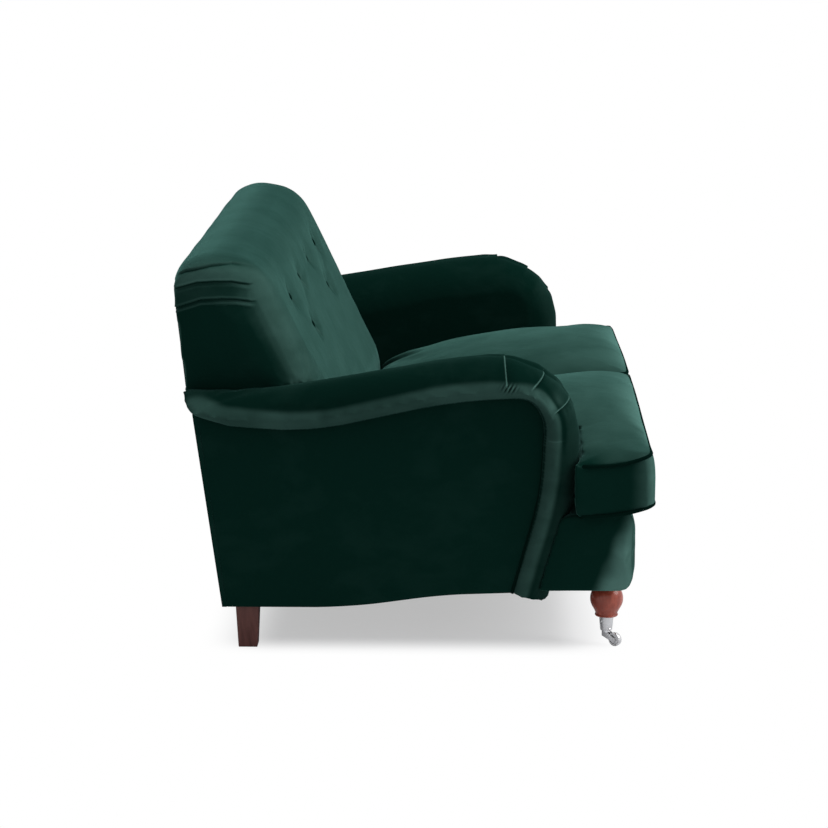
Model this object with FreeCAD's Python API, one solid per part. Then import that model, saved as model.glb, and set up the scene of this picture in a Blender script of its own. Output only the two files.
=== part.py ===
import FreeCAD, Part
import math
import os

# A two-seat English roll arm sofa. Millimetres, X along its length, the front faces -Y, Z up.
# The origin is on the floor, under the middle of the overall box. Left is -X, right is +X.

# Seat and arms across the length
seat_half_width = 600.0        # middle of the sofa to the inside face of an arm
arm_width = 165.0              # inside face to outside panel
roll_overhang = 50.0           # the roll stands out past the outside panel by this much
foot_overhang = 14.0           # what is left of that at the foot of the arm's front
crest_inset = 65.0             # crest of the roll, inboard of the outside panel
panel_thickness = 12.0         # upholstered outside arm panel
inside_pad_thickness = 30.0
piping_diameter = 7.0
cap_length = 6.0               # rounded rear end of the roll

# Side outline of the arm
arm_front = -345.0             # foremost point of the arm
arm_height = 628.0             # corner of the crest line above the front of the arm
arm_dip = 85.0                 # how far the crest line falls towards the back
arm_foot = 102.0               # lower end of the arm's front
roll_depth = 79.0              # crest down to the piping at the front of the arm
hem_front_drop = 13.0          # hem of the outside panel under the front rail, and under the rear rail
hem_rear_drop = 9.0

# Back
back_height = 820.0
back_end_inset = 60.0          # each end of the back, inboard of the outside panel
rear_foot = 404.0              # rear face at the rear hem
rear_rake = 7.66               # degrees
back_panel_thickness = 10.0
back_front_foot = 116.0        # front face of the back, just above the seat
back_foot_rise = 150.0         # underside of the back to where its leaning front begins
back_front_rake = 26.0         # degrees
back_end_rounding = 95.0       # how far the front face rounds back at its two ends
back_rear_swell = 15.0         # the rear stands out past the lower panel, just above the arms
back_top_swell = 7.0           # and at the top
back_wrap = 14.0               # the cover turns round the upper panel's ends by this much
back_padding_top = 95.0        # padding in front of the wooden back frame
back_padding_foot = 170.0
back_frame_drop = 55.0         # top of the frame under the top of the back

# Tufts: an upper row of four buttons and a lower row of two
button_diameter = 22.0
button_thickness = 7.0
button_sink = 3.0              # let into the bottom of its tuft
tuft_depth = 12.0
tuft_width = 84.0
upper_row_height = 700.0
upper_row = (140.0, 420.0)
lower_row_height = 615.0
lower_row = (280.0,)

# Seat cushions
seat_front = -499.5            # lower front edge of the cushions
seat_front_height = 325.0      # underside of the cushions there
seat_slope = 9.5               # degrees down to the rear
cushion_boxing = 110.0         # height between the two piped edges
cushion_crown = 50.0
cushion_piping = 8.0
wing_reach = 200.0             # the front of the T shape reaches this far past the arm's inside face
cushion_gap = 0.4              # clearance to the arms, the platform and the other cushion
lift_gap = 1.5                 # clearance to the arm's front and to the back, which the cushion slides past
cushion_corner = 22.0          # plan radius of the corners
side_draw = 5.0                # sides pulled in between the corners

# Front border
border_front = -456.0
border_reach = 5.0             # its ends stand out past the outside panels
border_drop = 5.0              # its lower edge under the front rail
border_rounding = 30.0
border_return = 90.0           # its ends run back past the arm's foremost point
border_padding = 15.0

# Wooden frame
rail_thickness = 30.0
side_rail_height = 95.0
side_rail_inset = 50.0         # arm's inside face to the side rail
post_width = 45.0
stump_depth = 50.0
stump_setback = 175.0          # behind the arm's foremost point
arm_rail_height = 55.0
arm_rail_width = 80.0
corner_block_height = 80.0
corner_block_depth = 66.0
back_rail_height = 60.0
dust_cover_thickness = 1.5

# Springs, webbing and platform
deck_thickness = 14.0
spring_wire = 3.8
spring_swing = 24.0            # half the width of a zigzag spring
spring_bend = 18.0             # radius of its bends
springs_per_seat = 3
clip_cover = 1.0               # metal over the wire
clip_width = 16.0
clip_length = 9.0
strap_width = 50.0
strap_thickness = 1.5
strap_count = 7

# Legs and castors
front_leg_inset = 65.0         # leg's axis inboard of the outside panel
front_leg_setback = 51.0       # and behind the front of the border
front_leg_height = 78.5        # castor cup to the underside of the front rail
ball_radius = 35.0
ball_rise = 37.5               # centre of the ball above the castor cup
leg_rim_radius = 24.5
leg_cove_height = 13.0         # the ball's flared foot above the rim
leg_rim_height = 4.0
leg_neck_radius = 25.0
rear_leg_inset = 45.0
rear_leg_setback = 51.0        # leg's axis ahead of the rear hem
rear_leg_height = 104.0
rear_leg_top = 50.0
rear_leg_foot = 40.0
bolt_radius = 4.0
bolt_depth = 35.0
cup_height = 32.5
cup_above_axle = 16.5
cup_top_radius = 16.0
cup_bottom_radius = 12.5
cup_wall = 2.5
cup_floor = 3.0
stem_radius = 4.0
running_clearance = 0.05
head_radius = 6.5
head_height = 2.4
wheel_radius = 14.5
wheel_width = 11.0
wheel_trail = 23.0             # wheel centre ahead of the swivel
wheel_turn = 38.0              # degrees from straight ahead, turned outwards
fork_gap = 0.7                 # on each side of the wheel
fork_thickness = 2.6
axle_radius = 2.0
horn_plate_radius = 9.5
horn_plate_height = 3.2
screw_radius = 2.4
screw_turn = 50.0              # degrees round the cup, from its outer side to the rear

outside = seat_half_width + arm_width
crest_x = outside - crest_inset
back_half_width = outside - back_end_inset
border_half_width = outside + border_reach
cup_bottom = wheel_radius + cup_above_axle
cup_top = cup_bottom + cup_height
ball_height = cup_top + ball_rise
front_rail_bottom = cup_top + front_leg_height
rear_rail_bottom = rear_leg_height
border_bottom = front_rail_bottom - border_drop
hem_front = front_rail_bottom - hem_front_drop
hem_rear = rear_rail_bottom - hem_rear_drop
leg_x = outside - front_leg_inset
front_leg_y = border_front + front_leg_setback
rear_leg_x = outside - rear_leg_inset
rear_leg_y = rear_foot - rear_leg_setback
slope = math.radians(seat_slope)
tan_slope = math.tan(slope)
rear_tan = math.tan(math.radians(rear_rake))
front_tan = math.tan(math.radians(back_front_rake))
cushion_length = (back_front_foot - seat_front) / math.cos(slope)
back_bottom = seat_front_height - (back_front_foot - seat_front) * tan_slope
back_front_foot_height = back_bottom + back_foot_rise


def place(x, yz):
    return FreeCAD.Vector(x, yz[0], yz[1])


def rounded_edges(corners, closed=False, radius=None):
    """Straight runs joined by tangent arcs. A sharp corner takes the radius, where one is given.

    Any other corner takes the largest arc that its two runs allow.
    """
    share = 0.45
    count = len(corners)
    bends = []
    for i, here in enumerate(corners):
        if not closed and i in (0, count - 1):
            bends.append((here, None, here))
            continue
        arriving = here.sub(corners[i - 1])
        leaving = corners[(i + 1) % count].sub(here)
        cut = share * min(arriving.Length, leaving.Length)
        arriving.normalize()
        leaving.normalize()
        half_turn = arriving.getAngle(leaving) / 2
        if half_turn < 0.002:
            bends.append((here, None, here))
            continue
        if radius and half_turn > 0.3:
            cut = radius * math.tan(half_turn)
        bend = cut / math.tan(half_turn)
        inwards = leaving.sub(arriving)
        inwards.normalize()
        middle = here.add(inwards.multiply(bend / math.cos(half_turn) - bend))
        bends.append((here.sub(arriving.multiply(cut)), middle, here.add(leaving.multiply(cut))))
    edges = []
    for i in range(count if closed else count - 1):
        after = bends[(i + 1) % count]
        edges.append(Part.makeLine(bends[i][2], after[0]))
        if after[1] is not None:
            edges.append(Part.Arc(*after).toShape())
    return edges


def prism(edges, x_from, x_to):
    """A side outline in the plane x_from, drawn out along X."""
    face = Part.Face(Part.Wire(edges))
    return face.extrude(FreeCAD.Vector(x_to - x_from, 0, 0))


def slab(points, x_from, x_to):
    """A side outline of straight lines, drawn out along X."""
    corners = [place(x_from, p) for p in points]
    edges = [Part.makeLine(a, b) for a, b in zip(corners, corners[1:] + corners[:1])]
    return prism(edges, x_from, x_to)


def box(x_from, x_to, y_from, y_to, z_from, z_to):
    corner = FreeCAD.Vector(x_from, y_from, z_from)
    return Part.makeBox(x_to - x_from, y_to - y_from, z_to - z_from, corner)


def mirrored(shape):
    return shape.mirror(FreeCAD.Vector(0, 0, 0), FreeCAD.Vector(1, 0, 0))


def cylinder(radius, height, base, axis=(0, 0, 1)):
    return Part.makeCylinder(radius, height, FreeCAD.Vector(*base), FreeCAD.Vector(*axis))


def tube(edges, diameter):
    """A round section carried along a path of lines and tangent arcs."""
    path = Part.Wire(edges)
    start = edges[0].valueAt(edges[0].FirstParameter)
    ahead = edges[0].tangentAt(edges[0].FirstParameter)
    ring = Part.Wire(Part.makeCircle(diameter / 2, start, ahead))
    return path.makePipeShell([ring], True, False)


def rear_y(z):
    """The raked rear face of the sofa at a height."""
    return rear_foot + (z - hem_rear) * rear_tan


def pad_y(z):
    """The leaning front of the wooden back frame, where the back's padding begins."""
    top = back_height - back_frame_drop
    at_top = back_front_foot + (top - back_front_foot_height) * front_tan + back_padding_top
    at_foot = back_front_foot + back_padding_foot
    return at_foot + (at_top - at_foot) * (z - back_bottom) / (top - back_bottom)


def leaning_slab(line, x_from, x_to, z_from, z_to, nearest, farthest):
    """A board along one of the leaning lines, between two distances behind it (negative is in front)."""
    outline = [
        (line(z_from) + nearest, z_from),
        (line(z_from) + farthest, z_from),
        (line(z_to) + farthest, z_to),
        (line(z_to) + nearest, z_to),
    ]
    return slab(outline, x_from, x_to)


def seat_line(y, drop=0.0):
    """Height of the sloping seat platform, measured under the cushions, less a drop square to it."""
    return seat_front_height - (y - seat_front) * tan_slope - drop / math.cos(slope)


def seat_placed(shape):
    """Tips a piece that was made level, with its front lower edge at the origin, onto the sloping seat."""
    shape.rotate(FreeCAD.Vector(0, 0, 0), FreeCAD.Vector(1, 0, 0), -seat_slope)
    shape.translate(FreeCAD.Vector(0, seat_front, seat_front_height))
    return shape


# Side outline of the arm: the piped edge of the outside panel and the crest of the roll above it.
# Each point is a distance behind the arm's foremost point and a height under the crest's corner.
def arm_point(behind, below):
    return (arm_front + behind, arm_height - below)


piping_front = roll_depth - 3.0
arm_rear_edge = rear_y(arm_height - arm_dip - 35.0) - back_panel_thickness
crest_line = [
    (arm_rear_edge + 31.0, arm_height - arm_dip + 5.0),
    (rear_foot - 74.0, arm_height - arm_dip),
    arm_point(285.0, 19.0),
    arm_point(130.0, 0.0),
    arm_point(10.0, 98.0),
    arm_point(0.0, 228.0),
    (arm_front + 66.0, arm_foot),
]
piping_line = [
    (arm_rear_edge, arm_height - arm_dip - 35.0),
    (rear_foot - 4.0, arm_height - arm_dip - 54.0),
    (rear_foot - 189.0, arm_height - arm_dip - 68.0),
    arm_point(270.0, roll_depth + 9.0),
    arm_point(105.0, roll_depth),
    arm_point(piping_front - 1.0, 128.0),
    arm_point(piping_front + 6.0, 283.0),
    (arm_front + 141.5, hem_front),
]
shoulder_height = piping_line[0][1]
hem_line = [
    piping_line[-1],
    (arm_front + 285.0, hem_front - 5.0),
    (arm_front + 445.0, hem_rear + 6.0),
    (rear_foot - 214.0, hem_rear),
    (rear_foot - back_panel_thickness, hem_rear),
]


def core_edges(x):
    """The side outline of the arm inside its roll: piped edge, hem and rear edge."""
    top = rounded_edges([place(x, p) for p in piping_line])
    hem = rounded_edges([place(x, p) for p in hem_line])
    rear = Part.makeLine(place(x, hem_line[-1]), place(x, piping_line[0]))
    return top + hem + [rear]


def core(x_from, x_to):
    return prism(core_edges(x_from), x_from, x_to)


def roll_section(crest, edge, overhang, at_crest):
    """One cross-section of the padded roll, from the inside face over the crest and under to the piping."""
    widest = outside + overhang
    depth = edge.sub(crest).Length

    def at(x, share):
        down = edge.sub(crest).multiply(share)
        return FreeCAD.Vector(x, crest.y + down.y, crest.z + down.z)

    foot_share = 1.2
    foot_depth = foot_share * depth
    reach = at_crest - seat_half_width
    shoulder = (reach ** 2 + foot_depth ** 2) / (2 * reach)
    half_turn = (math.pi - math.atan2(foot_depth, reach - shoulder)) / 2
    shoulder_x = seat_half_width + shoulder * (1.0 - math.cos(half_turn))
    shoulder_share = (foot_depth - shoulder * math.sin(half_turn)) / depth
    inner_foot = at(seat_half_width, foot_share)
    outer_foot = at(outside - 8.0, 1.03)
    top = at(at_crest, 0.0)
    brow = at(widest, 0.72)
    inner = Part.Arc(inner_foot, at(shoulder_x, shoulder_share), top).toShape()
    outer = Part.Arc(top, at(at_crest + 0.68 * (widest - at_crest), 0.18), brow).toShape()
    under = Part.Arc(brow, at(outside + 0.64 * overhang, 0.93), outer_foot).toShape()
    return Part.Wire([inner, outer, under, Part.makeLine(outer_foot, inner_foot)])


def make_arm_roll(core_solid):
    """The roll over the arm and down its front, as one padded band with a rounded rear end."""
    stations = 25
    bend_start = 14
    cap_share = 0.72
    front_lean = 12.0
    crest_path = Part.Wire(rounded_edges([place(0, p) for p in crest_line]))
    edge_path = Part.Wire(rounded_edges([place(0, p) for p in piping_line]))
    sections = []
    for i, crest in enumerate(crest_path.discretize(Number=stations)):
        edge = edge_path.distToShape(Part.Vertex(crest))[1][0][0]
        down_front = max(0.0, (i - bend_start) / (stations - 1.0 - bend_start))
        overhang = roll_overhang + (foot_overhang - roll_overhang) * down_front
        sections.append(roll_section(crest, edge, overhang, crest_x - front_lean * down_front))
    cap = sections[0].copy()
    cap.scale(cap_share, cap.BoundBox.Center)
    cap.translate(FreeCAD.Vector(0, cap_length, 0))
    return Part.makeLoft([cap] + sections, True, True).cut(core_solid)


def back_section(x):
    """Side outline of the padded back at one place along its length. It draws back towards the two ends."""
    corner_cut = 7.0
    top_fall = 24.0
    rear_fall = 6.0
    rear_round = (65.0, 34.0)
    front_round = 17.0
    tuck_depth = 72.0
    tuck_back = 34.0
    from_end = back_half_width - abs(x)
    swell = min(1.0, from_end / back_end_rounding)
    drawn = 1.0 - math.sqrt(1.0 - (1.0 - swell) ** 2)
    set_back = back_end_rounding * drawn
    top = back_height + corner_cut - top_fall * drawn
    foot = back_front_foot + set_back
    brow = back_front_foot + (top - front_round - back_front_foot_height) * front_tan + set_back
    rear_top = rear_y(back_height) + back_top_swell - rear_fall * drawn
    outline = [
        (rear_y(back_bottom) - 2.0, back_bottom),
        (rear_y(shoulder_height) + back_rear_swell, shoulder_height),
        (rear_top, top - rear_round[1]),
        (rear_top - rear_round[0], top),
        (brow, top - front_round),
        (foot, back_front_foot_height),
        (foot + 2.0, back_front_foot_height - tuck_depth),
        (foot + tuck_back, back_bottom),
    ]
    return Part.Wire(rounded_edges([place(x, p) for p in outline], closed=True))


def front_face_point(x, z, proud=0.0):
    """A point on the front face of the back, or proud of it."""
    y = back_front_foot + (z - back_front_foot_height) * front_tan
    rake = math.radians(back_front_rake)
    return FreeCAD.Vector(x, y - proud * math.cos(rake), z + proud * math.sin(rake))


def tuft_places():
    for row, height in ((upper_row, upper_row_height), (lower_row, lower_row_height)):
        for reach in row:
            yield -reach, height
            yield reach, height


def make_buttons():
    rake = math.radians(back_front_rake)
    outwards = FreeCAD.Vector(0, -math.cos(rake), math.sin(rake))
    buttons = []
    for x, z in tuft_places():
        seat = front_face_point(x, z, -tuft_depth - button_sink)
        disc = Part.makeCylinder(button_diameter / 2, button_thickness, seat, outwards)
        buttons.append(disc.makeFillet(2.5, [disc.Edges[0]]))
    return buttons


def make_inside_back(takes_away):
    """The padded back: rounded at its ends, drawn in at the tufts, and cut back by what it fits round."""
    steps = 7
    offsets = [back_end_rounding * (1.0 - math.cos(math.pi / 2 * i / steps)) for i in range(steps + 1)]
    xs = [-back_half_width + o for o in offsets] + [back_half_width - o for o in reversed(offsets)]
    shape = Part.makeLoft([back_section(x) for x in xs], True, True)
    bowl = (tuft_width ** 2 / 4 + tuft_depth ** 2) / (2 * tuft_depth)
    tufts = [Part.makeSphere(bowl, front_face_point(x, z, bowl - tuft_depth)) for x, z in tuft_places()]
    for other in tufts + takes_away:
        shape = shape.cut(other)
    return shape


def cushion_outline(height, inset=0.0):
    """Plan of the right-hand T-shaped cushion at a height in its boxing, drawn in between its corners.

    The inset is from the sides that face the other cushion, the arm and the back.
    """
    left = cushion_gap + inset
    inner = seat_half_width - cushion_gap - inset
    wing = seat_half_width + wing_reach
    lean = height * math.sin(slope)
    notch = (arm_front - lift_gap - inset - seat_front - lean) / math.cos(slope)
    rear = (back_front_foot - lift_gap - inset - seat_front - lean) / math.cos(slope)
    plan = [
        (left, 0.0),
        (wing, 0.0),
        (wing, notch),
        (inner, notch),
        (inner, rear),
        (left, rear),
    ]
    draws = [(0, 1), (-1, 0), None, (-1, 0), (0, -1), (1, 0)]
    points = []
    for i, (here, draw) in enumerate(zip(plan, draws)):
        after = plan[(i + 1) % len(plan)]
        points.append(FreeCAD.Vector(here[0], here[1], height))
        if draw:
            x = (here[0] + after[0]) / 2 + draw[0] * side_draw
            y = (here[1] + after[1]) / 2 + draw[1] * side_draw
            points.append(FreeCAD.Vector(x, y, height))
    return points


def make_cushion():
    """A T-shaped seat cushion: boxed sides, a crowned top and a flat underside, on the sloping seat."""
    edge = 5.0
    wing = seat_half_width + wing_reach + edge
    shares = ((-0.01, 0.1), (0.06, 0.48), (0.16, 0.76), (0.38, 1.0), (0.68, 0.98), (0.9, 0.62), (1.01, 0.3))
    sections = []
    for along, rise in shares:
        y = along * cushion_length
        foot = [FreeCAD.Vector(-edge, y, 0.0), FreeCAD.Vector(wing, y, 0.0)]
        shoulder = [FreeCAD.Vector(-edge, y, cushion_boxing), FreeCAD.Vector(wing, y, cushion_boxing)]
        top = FreeCAD.Vector((wing - edge) / 2, y, cushion_boxing + rise * cushion_crown)
        sections.append(Part.Wire([
            Part.makeLine(foot[0], foot[1]),
            Part.makeLine(foot[1], shoulder[1]),
            Part.Arc(shoulder[1], top, shoulder[0]).toShape(),
            Part.makeLine(shoulder[0], foot[0]),
        ]))
    crowned = Part.makeLoft(sections, True, False)
    plan = Part.Face(Part.Wire(rounded_edges(cushion_outline(0.0), True, cushion_corner)))
    tallest = cushion_boxing + 2 * cushion_crown
    cushion = seat_placed(crowned.common(plan.extrude(FreeCAD.Vector(0, 0, tallest))))
    high = seat_front_height + tallest
    behind = back_front_foot + tallest
    past_arm = box(seat_half_width - cushion_gap, wing + edge, arm_front - lift_gap, behind, 0.0, high)
    past_back = box(0.0, wing + edge, back_front_foot - lift_gap, behind, 0.0, high)
    return cushion.cut(past_arm).cut(past_back)


def make_cushion_piping():
    """Two piped edges round a cushion, at the top and the bottom of its boxing."""
    loops = []
    for height in (cushion_piping / 2, cushion_boxing - 1.0):
        outline = cushion_outline(height, cushion_piping / 2)
        loops.append(tube(rounded_edges(outline, True, cushion_corner), cushion_piping))
    return seat_placed(Part.makeCompound(loops))


def make_spring(x):
    """A zigzag seat spring: level runs joined by half-circle bends, lying in the slope of the seat."""
    wire_level = -deck_thickness - clip_cover - spring_wire / 2
    reach = spring_swing - spring_bend
    start = (border_front + border_padding + rail_thickness / 2 + 8.0 - seat_front) / math.cos(slope)
    rear_rail_middle = rear_y(rear_rail_bottom) - back_panel_thickness - rail_thickness / 2
    finish = (rear_rail_middle - seat_front) / math.cos(slope)
    runs = int((finish - start - 30.0) / (2 * spring_bend))
    lead = (finish - start - runs * 2 * spring_bend) / 2

    def at(dx, y):
        return FreeCAD.Vector(x + dx, y, wire_level)

    edges = []
    y = start + lead
    side = 1
    here = at(-reach, y)
    edges.append(Part.makeLine(at(-reach - spring_bend, start), at(-reach - spring_bend, y - spring_bend)))
    quarter = spring_bend * math.sqrt(0.5)
    edges.append(Part.Arc(
        at(-reach - spring_bend, y - spring_bend),
        at(-reach - quarter, y - spring_bend + quarter),
        here,
    ).toShape())
    for i in range(runs):
        there = at(side * reach, y)
        edges.append(Part.makeLine(here, there))
        here = at(side * reach, y + 2 * spring_bend)
        edges.append(Part.Arc(there, at(side * (reach + spring_bend), y + spring_bend), here).toShape())
        y += 2 * spring_bend
        side = -side
    there = at(side * reach, y)
    edges.append(Part.makeLine(here, there))
    tail = at(side * (reach + spring_bend), y + spring_bend)
    edges.append(Part.Arc(there, at(side * (reach + quarter), y + spring_bend - quarter), tail).toShape())
    edges.append(Part.makeLine(tail, at(side * (reach + spring_bend), y + spring_bend + 6.0)))
    ends = (edges[0].Vertexes[0].Point, edges[-1].Vertexes[-1].Point)
    return tube(edges, spring_wire), ends


def make_clip(end, ahead, spring):
    """A metal clip that holds the end of a spring down on its rail, with a channel for the wire."""
    low = end.z - spring_wire / 2
    top = low + spring_wire + clip_cover
    y_from = end.y if ahead > 0 else end.y - clip_length
    y_to = y_from + clip_length
    clip = box(end.x - clip_width / 2, end.x + clip_width / 2, y_from, y_to, low, top)
    channel = box(end.x - spring_wire / 2, end.x + spring_wire / 2, y_from, y_to, low, end.z)
    return clip.cut(spring).cut(channel)


def revolved(profile, x, y):
    """A turned piece: a profile of (radius, height) points about an upright axis."""
    points = [FreeCAD.Vector(x + r, y, z) for r, z in profile]
    edges = [Part.makeLine(a, b) for a, b in zip(points, points[1:] + points[:1])]
    face = Part.Face(Part.Wire(edges))
    return face.revolve(FreeCAD.Vector(x, y, 0), FreeCAD.Vector(0, 0, 1), 360)


def make_front_leg():
    """A turned ball foot with a rim, and a spigot that the castor cup holds."""
    spigot_bottom = cup_bottom + cup_floor + head_height + 2.0
    taper = (cup_top_radius - cup_bottom_radius) / (cup_top - cup_bottom)

    def bore(z):
        return cup_bottom_radius - cup_wall + (z - cup_bottom) * taper

    spigot = [
        (0.0, spigot_bottom),
        (bore(spigot_bottom), spigot_bottom),
        (bore(cup_top), cup_top),
        (0.0, cup_top),
    ]
    leg = revolved(spigot, leg_x, front_leg_y)
    leg = leg.fuse(cylinder(leg_rim_radius, leg_rim_height, (leg_x, front_leg_y, cup_top)))
    ball = Part.makeSphere(ball_radius, FreeCAD.Vector(leg_x, front_leg_y, ball_height))
    above = cylinder(2 * ball_radius, front_leg_height - 1.0, (leg_x, front_leg_y, cup_top + 1.0))
    leg = leg.fuse(ball.common(above))
    cove_bottom = cup_top + leg_rim_height
    cove_top = cove_bottom + leg_cove_height
    cove_top_radius = math.sqrt(ball_radius ** 2 - (ball_height - cove_top) ** 2)
    cove = Part.makeCone(leg_rim_radius - 1.5, cove_top_radius, leg_cove_height,
                         FreeCAD.Vector(leg_x, front_leg_y, cove_bottom))
    leg = leg.fuse(cove)
    neck = cylinder(leg_neck_radius, front_rail_bottom - ball_height, (leg_x, front_leg_y, ball_height))
    return leg.fuse(neck).removeSplitter()


def make_cup():
    """The castor's tapered socket, open at the top, with a hole in its floor for the swivel."""
    outer = [
        (0.0, cup_bottom),
        (cup_bottom_radius, cup_bottom),
        (cup_top_radius, cup_top),
        (0.0, cup_top),
    ]
    cup = revolved(outer, leg_x, front_leg_y)
    taper = (cup_top_radius - cup_bottom_radius) / (cup_top - cup_bottom)
    floor_top = cup_bottom + cup_floor
    inner = [
        (0.0, floor_top),
        (cup_bottom_radius - cup_wall + cup_floor * taper, floor_top),
        (cup_top_radius - cup_wall, cup_top),
        (0.0, cup_top),
    ]
    cup = cup.cut(revolved(inner, leg_x, front_leg_y))
    hole = cylinder(stem_radius + running_clearance, cup_floor, (leg_x, front_leg_y, cup_bottom))
    return cup.cut(hole)


def turned(shape):
    """Turns a castor piece that was made facing straight ahead to where it stands at rest."""
    shape.rotate(FreeCAD.Vector(leg_x, front_leg_y, 0), FreeCAD.Vector(0, 0, 1), wheel_turn)
    return shape


def make_horn():
    """The castor's swivel: rivet, plate, and the fork that carries the axle."""
    plate_top = cup_bottom - 0.1
    plate_bottom = plate_top - horn_plate_height
    stem_top = cup_bottom + cup_floor + 0.1
    base = (leg_x, front_leg_y)
    horn = cylinder(horn_plate_radius, horn_plate_height, (*base, plate_bottom))
    horn = horn.fuse(cylinder(stem_radius, stem_top - plate_top, (*base, plate_top)))
    horn = horn.fuse(cylinder(head_radius, head_height, (*base, stem_top)))
    inner = wheel_width / 2 + fork_gap
    outer = inner + fork_thickness
    hub = (front_leg_y - wheel_trail, wheel_radius)
    hub_radius = 5.0
    back_edge = front_leg_y + horn_plate_radius * 0.55
    front_edge = front_leg_y - horn_plate_radius * 0.55
    arm_outline = [
        (back_edge, plate_bottom),
        (front_edge - 2.0, plate_bottom),
        (hub[0] + 1.0, hub[1] + hub_radius),
        (hub[0] + 1.0, hub[1] - hub_radius),
        (back_edge, plate_bottom - 8.0),
    ]
    for side in (-1, 1):
        near, far = sorted((side * inner, side * outer))
        arm = slab(arm_outline, leg_x + near, leg_x + far)
        eye = cylinder(hub_radius, fork_thickness, (leg_x + near, *hub), (1, 0, 0))
        horn = horn.fuse(arm.fuse(eye))
    bridge_front = front_leg_y - wheel_trail + wheel_radius + 1.5
    bridge = box(leg_x - outer, leg_x + outer, bridge_front, back_edge, plate_bottom - 8.0, plate_bottom)
    horn = horn.fuse(bridge)
    horn = horn.cut(cylinder(axle_radius, 2 * outer, (leg_x - outer, *hub), (1, 0, 0)))
    return turned(horn.removeSplitter())


def make_axle():
    outer = wheel_width / 2 + fork_gap + fork_thickness
    base = (leg_x - outer, front_leg_y - wheel_trail, wheel_radius)
    return turned(cylinder(axle_radius, 2 * outer, base, (1, 0, 0)))


def make_wheel():
    base = (leg_x - wheel_width / 2, front_leg_y - wheel_trail, wheel_radius)
    wheel = cylinder(wheel_radius, wheel_width, base, (1, 0, 0))
    wheel = wheel.makeChamfer(1.2, [e for e in wheel.Edges if e.Length > 60.0 and len(e.Vertexes) == 1])
    bore = cylinder(axle_radius + running_clearance, wheel_width, base, (1, 0, 0))
    return turned(wheel.cut(bore))


def make_screw():
    """A round-headed screw through the side of the cup."""
    height = (cup_top + cup_bottom) / 2 + 5.0
    taper = (cup_top_radius - cup_bottom_radius) / (cup_top - cup_bottom)
    radius = cup_bottom_radius + (height - cup_bottom) * taper
    screw = cylinder(screw_radius, 3.5, (leg_x + radius - 2.2, front_leg_y, height), (1, 0, 0))
    screw.rotate(FreeCAD.Vector(leg_x, front_leg_y, 0), FreeCAD.Vector(0, 0, 1), screw_turn)
    return screw


def save(name, solids):
    shape = solids[0] if len(solids) == 1 else Part.makeCompound(solids)
    count = len(shape.Solids)
    state = "valid" if shape.isValid() else "NOT VALID"
    print(f"{name}: {count} solid(s), {shape.Volume / 1000:.1f} cm3, {state}")
    shape.exportStep(os.path.join("parts", name + ".step"))


def save_pair(name, right):
    save(name + "_right", [right])
    save(name + "_left", [mirrored(right)])


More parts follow.
